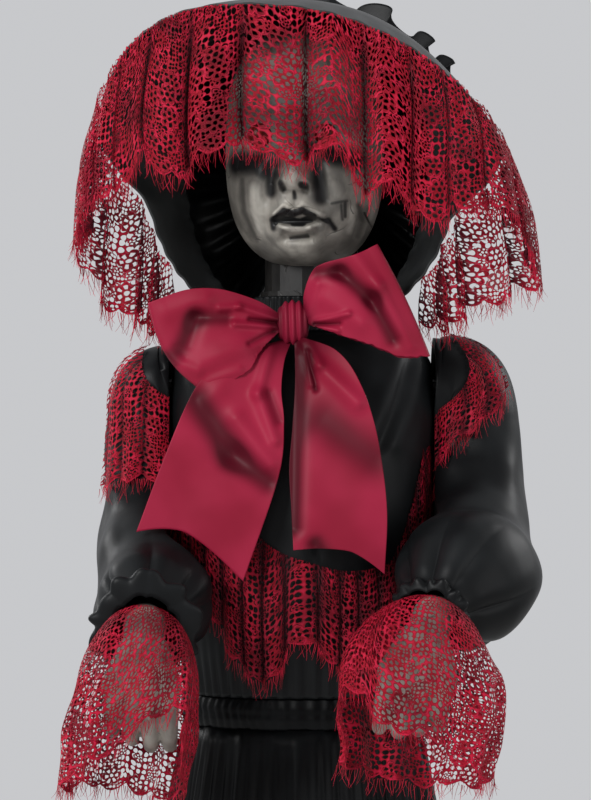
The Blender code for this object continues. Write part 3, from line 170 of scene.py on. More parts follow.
def shade(phase):  # 1 in a valley, 0 on a ridge
    return 1 - abs(sin(phase / 2)) ** 0.9 * 1.12


def swirl(angle, size, z=0.0, seed=0.0):  # the same noise, read round a circle
    return rough(cos(angle) * size, sin(angle) * size, z, seed)


def oval(angle, halfWidth, halfDepth, z, power=figure["squareness"]):
    return Vector((halfWidth * squared(cos(angle), power), halfDepth * squared(sin(angle), power), z))


def torsoPoint(angle, height, outset=0.0):
    halfWidth, halfDepth = between(figure["blouse"], height)
    return oval(angle, halfWidth + outset, halfDepth + outset, figure["waistZ"] + height)


# Materials: Val is a number that varies over a surface, Paint is one material


class Val:
    def __init__(self, paint, socket):
        self.paint, self.socket = paint, socket

    def sum(self, operation, *values):
        return self.paint.add("ShaderNodeMath", {"operation": operation}, dict(enumerate(values)))

    def __add__(self, other):
        return self.sum("ADD", self, other)

    def __sub__(self, other):
        return self.sum("SUBTRACT", self, other)

    def __rsub__(self, other):
        return self.sum("SUBTRACT", other, self)

    def __mul__(self, other):
        return self.sum("MULTIPLY", self, other)

    def __pow__(self, other):
        return self.sum("POWER", self, other)

    def __abs__(self):
        return self.sum("ABSOLUTE", self)

    __radd__, __rmul__ = __add__, __mul__

    def most(self, other):
        return self.sum("MAXIMUM", self, other)

    def sine(self):
        return self.sum("SINE", self)

    def ramp(self, low, high, first=0.0, last=1.0):  # eased from first at low to last at high
        ends = {"Value": self, "From Min": low, "From Max": high, "To Min": first, "To Max": last}
        return self.paint.add("ShaderNodeMapRange", {"interpolation_type": "SMOOTHSTEP"}, ends)


class Paint:
    def __init__(self, name, colour, roughness, **fixed):
        self.made = bpy.data.materials.new(name)
        self.made.use_nodes = True
        self.tree = self.made.node_tree
        self.shader = self.tree.nodes["Principled BSDF"]
        self.set("Base Color", colour)
        self.set("Roughness", roughness)
        for socket, value in fixed.items():
            self.set(socket.replace("_", " "), value)
        self.made.diffuse_color = (*colour, 1.0)

    def join(self, socket, value):
        if isinstance(value, Val):
            self.tree.links.new(value.socket, socket)
        elif isinstance(value, (tuple, list)) and socket.type == "RGBA":
            socket.default_value = (*value, 1.0)[:4]
        else:
            socket.default_value = value

    def set(self, socket, value):
        self.join(self.shader.inputs[socket], value)

    def add(self, kind, settings=None, inputs=None, output=0):
        node = self.tree.nodes.new(kind)
        for setting, value in (settings or {}).items():
            setattr(node, setting, value)
        for socket, value in (inputs or {}).items():
            self.join(node.inputs[socket], value)
        return Val(self, node.outputs[output])

    def spot(self, source="Object"):  # where on the piece: Object coordinates, or the UV map called cloth
        if source == "Object":
            return self.add("ShaderNodeTexCoord", {}, {}, "Object")
        return self.add("ShaderNodeUVMap", {"uv_map": source})

    def moved(self, vector, operation, other):
        return self.add("ShaderNodeVectorMath", {"operation": operation}, {0: vector, 1: other})

    def parts(self, vector):
        node = self.add("ShaderNodeSeparateXYZ", {}, {0: vector}).socket.node
        return [Val(self, output) for output in node.outputs]

    def stretched(self, vector, scale):
        return self.add("ShaderNodeMapping", {}, {"Vector": vector, "Scale": scale})

    def noisy(self, vector, scale, detail=3.0, output="Fac", **settings):
        values = {"Vector": vector, "Scale": scale, "Detail": detail}
        return self.add("ShaderNodeTexNoise", settings, values, output)

    def cells(self, vector, scale, feature, output, randomness=1.0, flat=True):
        settings = {"voronoi_dimensions": "2D" if flat else "3D", "feature": feature}
        values = {"Vector": vector, "Scale": scale, "Randomness": randomness}
        return self.add("ShaderNodeTexVoronoi", settings, values, output)

    def mixed(self, share, first, last):
        return self.add("ShaderNodeMix", {"data_type": "RGBA"}, {0: share, 6: first, 7: last}, 2)

    def painted(self, name):  # a number kept on the mesh
        return self.add("ShaderNodeAttribute", {"attribute_name": name}, {}, "Fac")

    def wobbled(self, vector, scale, detail, reach, **settings):
        drift = self.noisy(vector, scale, detail, "Color", **settings)
        drift = self.moved(drift, "SUBTRACT", (0.5, 0.5, 0.5))
        return self.moved(vector, "ADD", self.moved(drift, "MULTIPLY", reach))

    def carve(self, height, depth, strength=1.0):
        bump = self.add("ShaderNodeBump", {}, {"Strength": strength, "Distance": depth, "Height": height})
        self.set("Normal", bump)


def blackSatin(name, black, grey, shine):
    paint = Paint(name, black, 0.4, Specular_IOR_Level=shine)
    spot = paint.spot()
    cloudy = paint.noisy(spot, 16.0, 2.0)
    paint.set("Base Color", paint.mixed(cloudy.ramp(0.35, 0.75), black, grey))
    soft = paint.noisy(paint.stretched(spot, (1.0, 1.0, 0.45)), 19.0, 2.0)
    weave = paint.noisy(spot, 800.0, 1.0)
    paint.set("Roughness", 0.34 + cloudy * 0.12 + weave * 0.08)
    paint.carve(soft + weave * 0.03, 0.0035, 0.55)
    return paint.made


def redSatin():
    # A float attribute on the mesh is 1 deep in a fold and near the knot; there the satin is painted darker,
    # a painted shade.
    looks = {"dark": (0.062, 0.0016, 0.0075), "deep": (0.24, 0.007, 0.027), "crimson": (0.33, 0.014, 0.046)}
    paint = Paint("redSatin", looks["crimson"], 0.5, Specular_IOR_Level=0.16)
    spot = paint.spot()
    cloudy = paint.noisy(spot, 14.0, 2.0)
    base = paint.mixed(cloudy.ramp(0.3, 0.7), looks["deep"], looks["crimson"])
    ribs = (paint.parts(paint.spot("cloth"))[0] * 5200.0).sine()
    foldShade = paint.painted("foldShade")
    # painted shade: the satin goes to dark red in folds and where it meets the knot
    paint.set("Base Color", paint.mixed(foldShade.ramp(0.0, 1.0), base, looks["dark"]))
    paint.set("Roughness", 0.46 + cloudy * 0.1 + ribs * 0.03)
    soft = paint.noisy(spot, 15.0, 1.0)
    paint.carve(soft + ribs * 0.008, 0.0016, 0.4)
    return paint.made


def redLace(name, cell=0.0064, flower=0.0112, spacing=0.0225, hem=0.02, fine=0.56, thick=0.0):
    # Net, flowers and a scalloped edge, all in the cloth's own metres: across, and up from the hem.
    # A float attribute on the mesh is 1 at the bottom of a pleat, where the lace is painted darker as shade.
    looks = {
        "thread": (0.3, 0.0026, 0.015),
        "bright": (0.66, 0.015, 0.06),
        "petal": (0.25, 0.0023, 0.012),
        "deep": (0.032, 0.0008, 0.0042),
    }
    paint = Paint(name, looks["thread"], 0.66, Specular_IOR_Level=0.16)
    cloth = paint.spot("cloth")
    spot = paint.wobbled(cloth, 120.0, 1.0, (0.0028, 0.0028, 0.0), noise_dimensions="2D")
    across, up, _ = paint.parts(spot)

    wide = paint.cells(spot, 1 / cell, "F1", "Distance", 0.34)
    narrow = paint.cells(spot, 1.6 / cell, "F1", "Distance", 0.36)
    patches = paint.noisy(cloth, 34.0, 1.0, noise_dimensions="2D").ramp(fine - 0.03, fine + 0.03)
    wideNet, narrowNet = wide.ramp(0.385 - thick, 0.445 - thick), narrow.ramp(0.335 - thick, 0.415 - thick)
    net = wideNet * (1 - patches) + narrowNet * patches
    knots = wide.ramp(0.45, 0.58) * (1 - patches)

    def blossoms(size, gap, chance, petals):
        centre = paint.cells(cloth, 1 / gap, "F1", "Position", 0.6)
        tint = paint.parts(paint.cells(cloth, 1 / gap, "F1", "Color", 0.6))[0]
        x, y, _ = paint.parts(paint.moved(spot, "SUBTRACT", centre))
        reach = (x * x + y * y) ** 0.5
        turn = paint.add("ShaderNodeMath", {"operation": "ARCTAN2"}, {0: y, 1: x}) + tint * 5.0
        lobes = abs((turn * (petals / 2)).sine())
        rim = (0.66 + lobes * 0.34) * size
        shown = tint.ramp(chance - 0.01, chance + 0.01)
        inward = rim - reach
        whole = inward.ramp(-0.0002, 0.0003) * shown
        cord = abs(inward - 0.0006).ramp(0.0004, 0.001, 1.0, 0.0) * shown
        eye = reach.ramp(size * 0.14, size * 0.22, 1.0, 0.0)
        slots = abs(reach - size * 0.52).ramp(size * 0.12, size * 0.2, 1.0, 0.0) * lobes.ramp(0.62, 0.8)
        return whole * (1 - eye.most(slots)), cord, whole

    solid, cord, whole = blossoms(flower, spacing, 0.26, 6)
    small, smallCord, smallWhole = blossoms(flower * 0.52, spacing * 0.58, 0.48, 5)
    small, smallCord = small * (1 - whole), smallCord * (1 - whole)
    whole = whole.most(smallWhole)

    pitch = spacing * 1.1
    wave = abs((across * (pi / pitch)).sine())
    above = up - (0.34 - wave * 0.34) * hem
    rope = abs(above - 0.0012).ramp(0.0006, 0.0012, 1.0, 0.0)
    band = above.ramp(0.0, 0.0004) * above.ramp(hem * 0.25, hem * 0.34, 1.0, 0.0) * narrowNet

    flowers = solid.most(small)
    cords = cord.most(smallCord).most(rope)
    cover = (net * (1 - whole)).most(flowers).most(cords).most(band) * above.ramp(-0.0006, 0.0)
    paint.set("Alpha", cover)

    tone = paint.noisy(cloth, 70.0, 2.0)
    foldShade = paint.painted("foldShade")
    base = paint.mixed(flowers, looks["thread"], looks["petal"])
    base = paint.mixed((cords * 0.8).most(knots * 0.75) * tone.ramp(0.3, 0.62), base, looks["bright"])
    shadow = paint.noisy(paint.spot(), 26.0, 2.0)
    base = paint.mixed(tone.ramp(0.52, 0.75) * 0.5, base, looks["deep"])
    base = paint.mixed(shadow.ramp(0.5, 0.66) * 0.5, base, looks["deep"])
    # painted shade: the lace goes deep red in the pleat valleys
    base = paint.mixed(foldShade.ramp(0.22, 0.85) * 0.92, base, looks["deep"])
    paint.set("Base Color", base)
    paint.carve(net * 0.6 + cords + flowers * 0.4, 0.0009, 0.8)
    return paint.made


def laceThread():
    looks = {"deep": (0.24, 0.0025, 0.012), "bright": (0.6, 0.011, 0.046)}
    paint = Paint("laceThread", looks["bright"], 0.6, Specular_IOR_Level=0.2)
    tone = paint.noisy(paint.spot(), 90.0, 2.0)
    paint.set("Base Color", paint.mixed(tone.ramp(0.35, 0.7), looks["deep"], looks["bright"]))
    return paint.made


def greySkin(name, pale, grey):
    # Brushed streaks and fine cracks in grey paint. A float attribute is 1 where black and -1 where pale; it
    # holds black and pale paint on the face and also painted shade and painted highlights.
    looks = {
        "light": (0.52, 0.495, 0.44),
        "crack": (0.03, 0.027, 0.024),
        "marksAndShading": (0.006, 0.0058, 0.0062),
    }
    paint = Paint(name, grey, 0.42, Specular_IOR_Level=0.4)
    spot = paint.spot()
    bent = paint.wobbled(spot, 30.0, 3.0, (0.02, 0.02, 0.02))
    cloudy = paint.noisy(bent, 30.0, 4.0)
    brushed = paint.noisy(paint.stretched(bent, (1.0, 1.0, 0.22)), 70.0, 4.0)
    wide = paint.cells(bent, 26.0, "DISTANCE_TO_EDGE", "Distance", 1.0, False)
    cracks = wide.ramp(0.0, 0.022, 1.0, 0.0) * cloudy.ramp(0.52, 0.62)
    marksAndShading = paint.painted("marksAndShading")
    base = paint.mixed((cloudy * 0.6 + brushed * 0.4).ramp(0.34, 0.62), grey, pale)
    # pale paint and painted highlights: the face goes light where the attribute is below 0
    lit = (0.0 - marksAndShading).ramp(0.05, 1.0) * brushed.ramp(0.3, 0.62, 0.55, 1.0)
    base = paint.mixed(lit, base, looks["light"])
    base = paint.mixed(cracks * 0.55, base, looks["crack"])
    # black paint and painted shade: the face goes black where the attribute is above 0
    edged = (marksAndShading + (brushed - 0.5) * 0.55 * marksAndShading.ramp(0.02, 0.3)).ramp(0.02, 0.95)
    base = paint.mixed(edged, base, looks["marksAndShading"])
    paint.set("Base Color", base)
    paint.set("Roughness", 0.34 + cloudy * 0.2)
    paint.carve(cloudy * 0.5 + brushed * 0.3 - cracks * 0.8, 0.0014, 0.6)
    return paint.made


def redEye():
    paint = Paint("redEye", (0.42, 0.012, 0.008), 0.3, Specular_IOR_Level=0.2)
    rings = paint.noisy(paint.spot(), 180.0, 3.0)
    paint.set("Base Color", paint.mixed(rings.ramp(0.4, 0.7), (0.06, 0.001, 0.001), (0.2, 0.012, 0.006)))
    return paint.made


def moulded(name, colour, roughness, grain=0.0004, depth=0.00006, metallic=0.0, wear=(0.09, 0.09, 0.09)):
    paint = Paint(name, colour, roughness, Metallic=metallic)
    spot = paint.spot()
    grains = paint.noisy(spot, 1 / grain / 4, 2.0)
    dust = paint.noisy(spot, 18.0, 5.0)
    paint.set("Base Color", paint.mixed(dust.ramp(0.56, 0.8) * 0.35, colour, wear))
    paint.set("Roughness", roughness - 0.08 + dust * 0.18)
    paint.carve(grains, depth, 0.8)
    return paint.made


finishes = {
    "steel": moulded("darkSteel", (0.075, 0.075, 0.082), 0.42, 0.0006, 0.00003, 0.85, (0.2, 0.19, 0.18)),
    "black_plastic": moulded("blackPlastic", (0.026, 0.026, 0.027), 0.48),
    "nylon": moulded("nylon", (0.76, 0.735, 0.66), 0.45, 0.0006, 0.00004, 0.0, (0.55, 0.52, 0.45)),
    "rubber": moulded("rubber", (0.018, 0.018, 0.018), 0.78, 0.0007, 0.0001),
    "button_red": moulded("redButton", (0.52, 0.02, 0.02), 0.34, 0.0005, 0.00003, 0.0, (0.3, 0.02, 0.02)),
    "black_satin": blackSatin("blackSatin", (0.0036, 0.004, 0.0045), (0.0095, 0.0107, 0.0116), 0.14),
    "red_satin": redSatin(),
    "grey_skin": greySkin("greySkin", (0.31, 0.29, 0.255), (0.125, 0.117, 0.104)),
    "eye_lens": redEye(),
    "red_lace": redLace("veilLace"),
}
# painted shade: a darker copy of the black satin, used for the skirt and waistband
shadedSkirtBlack = blackSatin("shadedSkirtBlack", (0.001, 0.0011, 0.0013), (0.005, 0.0056, 0.0064), 0.1)
# painted light: a lighter copy of the black satin, used for the bonnet brim
litBonnetSatin = blackSatin("litBonnetSatin", (0.012, 0.013, 0.0134), (0.032, 0.035, 0.0355), 0.45)
cuffLace = redLace("cuffLace", 0.006, 0.01, 0.027, 0.02, 0.6, 0.035)
threadRed = laceThread()
slotOf = {row["node"]: row["material_slot"] for row in frame["record"]["subparts"]}
for nodeName, node in nodes.items():
    node.data.materials.clear()
    node.data.materials.append(finishes[slotOf[nodeName]])
# painted shade: the neck gets a much darker copy of the grey skin
nodes["neck"].data.materials[0] = greySkin("shadedNeckSkin", (0.015, 0.014, 0.013), (0.005, 0.0046, 0.0043))
print("materials made")


# Ways of making a piece


def stood(name, data, spot=(0, 0, 0), turn=(0, 0, 0)):
    holder = bpy.data.objects.new(name, data)
    holder.location, holder.rotation_euler = spot, turn
    bpy.context.scene.collection.objects.link(holder)
    return holder


def meshed(name, shape, surface, body, slot, place=None):
    if place is not None:
        bmesh.ops.transform(shape, matrix=place, verts=shape.verts)
    mesh = bpy.data.meshes.new(name)
    shape.to_mesh(mesh)
    shape.free()
    mesh.shade_smooth()
    mesh.materials.append(surface)
    piece = stood(name, mesh)
    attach(piece, body)
    return piece


def sewn(name, node, bend, grid, surface, body, restsOn, wall=0.0, foldShade=None, fringe=None):
    # A cloth piece in place of its node: a grid bent to shape by bend(u, v). Its UV map cloth is in metres,
    # across and up from the end at v = 1. A fringe is a name, a seed and the measures of its threads.
    across, along = grid
    shape = bmesh.new()
    bmesh.ops.create_grid(shape, x_segments=across, y_segments=along, size=1.0)
    cloth = shape.loops.layers.uv.new("cloth")
    # a float attribute for painted fold shade, filled from the shade function when one is given
    depth = shape.verts.layers.float.new("foldShade")
    spots, spotOf = {}, {}
    for vert in shape.verts:
        u, v = (vert.co.x + 1) / 2, (vert.co.y + 1) / 2
        key = round(u * across), round(v * along)
        spots[key], spotOf[vert] = vert, key
        vert.co = bend(u, v)
        if foldShade:
            vert[depth] = foldShade(u, v)
    width = 0.0
    for row in range(0, along + 1, max(along // 6, 1)):
        line = [spots[column, row].co for column in range(across + 1)]
        width = max(width, sum((b - a).length for a, b in zip(line, line[1:])))
    up = {}
    for column in range(across + 1):
        up[column, along] = 0.0
        for row in range(along, 0, -1):
            run = (spots[column, row].co - spots[column, row - 1].co).length
            up[column, row - 1] = up[column, row] + run
    for face in shape.faces:
        for loop in face.loops:
            key = spotOf[loop.vert]
            loop[cloth].uv = (key[0] / across * width, up[key])
    length, area = max(up.values()), sum(face.calc_area() for face in shape.faces)
    bmesh.ops.remove_doubles(shape, verts=shape.verts, dist=mergeDistance)
    place = headTurn if body == "head" else None
    piece = meshed(name, shape, surface, body, slotOf[node], place)
    if wall:
        thick = piece.modifiers.new("wall", "SOLIDIFY")
        thick.thickness, thick.offset = wall, 0.0
    lashes = [eyelashFringe(fringe[0], bend, body, place, *fringe[1:])] if fringe else []
    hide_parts(node)
    cut = min(area, width * length)
    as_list(restsOn)
    print(f"sheet {name}: {width:.3f} x {length:.3f} m, {area / (width * length):.2f} of it")


def threads(name, lines, radius, surface, body, slot, place=None):  # many tapered threads as one mesh
    curve = bpy.data.curves.new(name, "CURVE")
    curve.dimensions = "3D"
    curve.bevel_depth = radius
    curve.bevel_resolution = 0
    for line in lines:
        spline = curve.splines.new("POLY")
        spline.points.add(len(line) - 1)
        for index, spot in enumerate(line):
            spline.points[index].co = (*spot, 1.0)
            spline.points[index].radius = 1.0 - 0.7 * index / (len(line) - 1)
    holder = bpy.data.objects.new(name + "Curve", curve)
    mesh = bpy.data.meshes.new_from_object(holder)
    bpy.data.objects.remove(holder)
    shape = bmesh.new()
    shape.from_mesh(mesh)
    bpy.data.meshes.remove(mesh)
    return meshed(name, shape, surface, body, slot, place)


def eyelashFringe(name, bend, body, place, seed, pitch, length, curl=0.006, overlap=0.005, radius=0.00034):
    # loose warp threads along a lace hem
    random.seed(seed)
    count = 1200
    hem, before = ([bend(index / count, end) for index in range(count + 1)] for end in (1.0, 0.97))
    lines = []
    walked, due = 0.0, 0.0
    for index in range(count):
        ahead = hem[index + 1] - hem[index]
        walked += ahead.length
        if walked < due:
            continue
        due += pitch * random.uniform(0.5, 1.5)
        down = (hem[index] - before[index]).normalized()
        along = ahead.normalized()
        fall = (down + Vector((0, 0, -0.6)) + along * random.uniform(-0.45, 0.45)).normalized()
        curled = (along * random.uniform(-1, 1) + down.cross(along) * random.uniform(-1, 1)) * curl
        reach = length * random.uniform(0.45, 1.0)
        start = hem[index] - down * overlap * random.uniform(0.3, 1.0)
        shares = [step / 5 for step in range(6)]
        lines.append([start + fall * reach * share + curled * share * share for share in shares])
    return threads(name, lines, radius, threadRed, body, "red_lace", place)


# Skirt, waistband and bodice

dress = {
    "skirtHalfWidth": 0.34,
    "skirtHalfDepth": 0.31,
    "folds": 16,
    "wave": 0.017,
    "hemZ": 0.042,
    "gathers": 58,
    "gatherDepth": 0.0024,
    "clothWall": 0.0012,
    "bandGathers": 74,
    "drift": 0.006,
    "bodiceGathers": 62,
    "bodiceGatherDepth": 0.0016,
    "drape": 0.002,
    "blouse": 0.003,
    "armhole": 0.1301,
    "pulls": metres(  # soft folds from the shoulders towards the bow
        (118, 1335, 85, 1250, 11, 5), (98, 1343, 62, 1250, 9, 4), (108, 1340, 74, 1245, 6, -4.5),
        (-112, 1335, -85, 1250, 11, 4.5), (-95, 1338, -66, 1260, 8, 3), (4, 1300, 0, 1140, 8, 3),
        (18, 1290, 16, 1140, 5, -2.5),
    ),
}


def makeDress():
    halfWidth, halfDepth = between(figure["waist"], 0)
    bandLow = figure["waistZ"] - figure["bandHeight"] / 2
    bandHigh = bandLow + figure["bandHeight"]
    skirtTop = bandLow - figure["seam"]

    def skirt(u, v):
        angle = u * fullTurn
        spread = eased(v * 0.75) / eased(0.75) * 0.35 + 0.65 * v
        wide = halfWidth + (dress["skirtHalfWidth"] - halfWidth) * spread
        deep = halfDepth + (dress["skirtHalfDepth"] - halfDepth) * spread
        phase = angle * dress["folds"] + 0.6 * sin(angle * 2)
        fold = dress["wave"] * (0.12 + 0.88 * v) * (cos(phase) + 0.22 * cos(2 * phase + 1.0))
        small = angle * dress["gathers"] + 1.4 * swirl(angle, 3)
        gather = dress["gatherDepth"] * sin(small) * eased(v * 14) * exp(-v * 6.5)
        drift = dress["drift"] * v * swirl(angle, 4, v * 1.6, 3)
        out = Vector((cos(angle), sin(angle), 0))
        power = figure["squareness"] + (1 - figure["squareness"]) * v
        z = skirtTop - (skirtTop - dress["hemZ"]) * v
        return oval(angle, wide, deep, z, power) + out * (fold + gather + drift)

    satin, wall = finishes["black_satin"], dress["clothWall"]
    sewn("skirtSatin", "skirt", skirt, (480, 60), shadedSkirtBlack, "torso", ["waistband"], wall)

    def band(u, v):
        angle = u * fullTurn
        ripple = sin(angle * dress["bandGathers"] + 2.5 * swirl(angle, 4, v * 2))
        puff = 0.0022 + 0.0014 * sin(v * pi) + 0.0005 * ripple
        puff += 0.0003 * cos(v * 3 * fullTurn) - 0.002 * (hump(v, 0, 0.1) + hump(v, 1, 0.1))
        return oval(angle, halfWidth + puff, halfDepth + puff, bandHigh - (bandHigh - bandLow) * v)

    sewn("waistbandSatin", "waistband", band, (480, 16), shadedSkirtBlack, "torso", ["bodice"], wall)

    low, high = figure["bandHeight"] / 2 + figure["seam"], figure["blouse"][-1][0]

    def bodice(u, v):
        angle = u * fullTurn
        height = high + (low - high) * v
        small = angle * dress["bodiceGathers"] + 2 * swirl(angle, 3, 1)
        gather = dress["bodiceGatherDepth"] * sin(small) * eased((v - 0.8) * 5)
        across = cos(angle) * 0.12
        drape = dress["drape"] * rough(across * 20 + height * 5, sin(angle) * 3, height * 7, 5)
        blouse = dress["blouse"] * hump(v, 0.9, 0.1)
        plain = torsoPoint(angle, height)
        pull = stroked(plain.x, plain.z, dress["pulls"]) * max(-sin(angle), 0)
        beside = 1 - 0.85 * abs(cos(angle)) ** 4  # no fold stands out against the arms
        spot = torsoPoint(angle, height, ((drape + blouse) * eased(v * 6) + gather) * beside + pull)
        near = hump(height, 0.295, 0.04) * abs(cos(angle)) ** 6
        spot.x += (copysign(dress["armhole"], spot.x) - spot.x) * near
        return spot

    shells = ["chest_shell_front", "chest_shell_rear"]
    sewn("bodiceSatin", "bodice", bodice, (300, 90), satin, "torso", shells, wall)

    ring = {"bottom": 1.3572, "height": 0.035, "radius": 0.048, "folds": 30}

    def collar(u, v):
        angle = u * fullTurn
        lean = 0.004 * hump(v, 1.0, 0.25) - 0.002 * v
        small = angle * ring["folds"] + 2 * swirl(angle, 2, v)
        radius = ring["radius"] - 0.0015 + lean + 0.0011 * sin(small)
        return Vector((radius * cos(angle), radius * sin(angle), ring["bottom"] + ring["height"] * (1 - v)))

    sewn("collarSatin", "collar", collar, (240, 18), satin, "torso", ["bodice"], wall)


makeDress()
print("dress made")


# Bow

bow = {
    "knot": Vector((-0.009, -0.094, 1.3647)),
    "knotSize": (0.03, 0.026, 0.04),
    "wall": 0.0009,
    "loopThickness": 0.03,
    "loopForward": 0.03,
    "loopSeed": {"left": 1.0, "right": 4.0},
    "tailSeed": {"left": 2.0, "right": 6.0},
    "knotPleat": 0.0015,
    "creaseShare": 0.7,
    "fray": 0.0016,
    "loopRipple": 0.0022,
    "tailRipple": 0.0012,
    "loops": {  # x and z along both edges, from the knot to the fold, and how far the fold bows out
        "right": {
            "upper": metres(
                (-20, 1371.2), (-39, 1383.3), (-63, 1391.9), (-84, 1396.1), (-112, 1394.5), (-147, 1382.3),
            ),
            "lower": metres((-18, 1360), (-30, 1348), (-41, 1336), (-48, 1321.4), (-63, 1310), (-91, 1295.5)),
            "bulge": (-0.01, -0.007),
            "creases": metres(
                (-22, 1367, -60, 1379, 3.4, 6), (-60, 1379, -78, 1377, 3.6, 4.5),
                (-24, 1363.5, -50, 1367, 2.6, -6), (-26, 1360.5, -64, 1362.5, 3.4, 6),
                (-28, 1356, -50, 1344, 3, -4.5), (-36, 1350, -95, 1325, 10, 5),
                (-72, 1369, -100, 1370, 7, -7), (-100, 1370, -109, 1343, 8, -7.5),
                (-124, 1326, -100, 1317, 6, 8), (-120, 1340, -112, 1330, 4, -5),
                (-92, 1385, -130, 1374, 9, 5), (-60, 1318, -88, 1308, 5, 4),
            ),
        },
        "left": {
            "upper": metres(
                (1.5, 1376), (2, 1393), (9.5, 1413), (20.7, 1420.4), (50.5, 1428.5), (71.4, 1438.5),
            ),
            "lower": metres((3, 1364), (17, 1359), (40, 1351), (65, 1343), (96, 1331), (121.5, 1332)),
            "bulge": (0.002, 0.001),
            "creases": metres(
                (9, 1364.3, 44, 1372, 3, 5.5), (10, 1361.5, 34, 1356, 2.6, 5),
                (12, 1362.8, 36, 1363, 2.4, -5.5), (6, 1372, 14, 1400, 5, 5), (15, 1412.8, 36, 1411.8, 7, -7),
                (36, 1411.8, 66, 1385, 7.5, -8.5), (66, 1385, 86, 1348, 7, -8),
                (50, 1427, 72, 1398, 7.5, 6.5), (72, 1398, 104, 1342, 7.5, 7), (22, 1385, 55, 1364, 9, 6),
            ),
        },
    },
    "tails": {  # y down the middle, x and z down each edge, and how far the cut rises between its points
        "right": {
            "depth": (-0.091, -0.112, -0.124, -0.131, -0.138, -0.142),
            "first": metres(
                (-16, 1349), (-50, 1337), (-83, 1320.5), (-104, 1297.6), (-130, 1237.6), (-157, 1165.3),
            ),
            "last": metres(
                (-9.5, 1349), (-17, 1328), (-20, 1299.5), (-17.5, 1266.2), (-23, 1215.7), (-56, 1118.6),
            ),
            "notch": (0.021, 0.46),
            "creases": metres(
                (-30, 1340, -42, 1296, 6, 7), (-42, 1296, -26, 1252, 6.5, 7.5), (-32, 1296, -22, 1270, 5, -5),
                (-100, 1290, -66, 1237, 13, -9), (-66, 1237, -32, 1212, 11, -8), (-62, 1272, -30, 1230, 9, 7),
                (-58, 1325, -90, 1290, 10, 4),
            ),
        },
        "left": {
            "depth": (-0.097, -0.12, -0.134, -0.144, -0.151, -0.154),
            "first": metres(
                (-7.5, 1348.5), (-6.6, 1308.9), (-9.4, 1264), (-12.3, 1225), (-10.4, 1185), (-8.5, 1148.6),
            ),
            "last": metres((0.5, 1350), (32, 1337.5), (53, 1310), (70, 1260), (79.5, 1190), (77.5, 1125.9)),
            "notch": (0.013, 0.62),
            "creases": metres(
                (3, 1350, 16, 1323, 5, 8), (16, 1323, 52, 1288, 8, 9), (0, 1344, 9, 1305, 3.6, 6),
                (5, 1336, 13, 1300, 3, -5), (-7, 1330, -10, 1170, 9, -11), (20, 1270, 68, 1235, 19, -7),
                (12, 1150, 20, 1135, 8, -8),
            ),
        },
    },
}


def flat(spot):
    return Vector((spot[0], 0.0, spot[1]))


# painted shade in the creases that run inwards
def creaseShade(spot, creases):  # how dark the creases that run inwards are at a spot
    inward = [(*row[:4], row[4] * 1.2, -row[5]) for row in creases if row[5] < 0]
    return min(stroked(spot.x, spot.z, inward) / 0.01, 0.85)


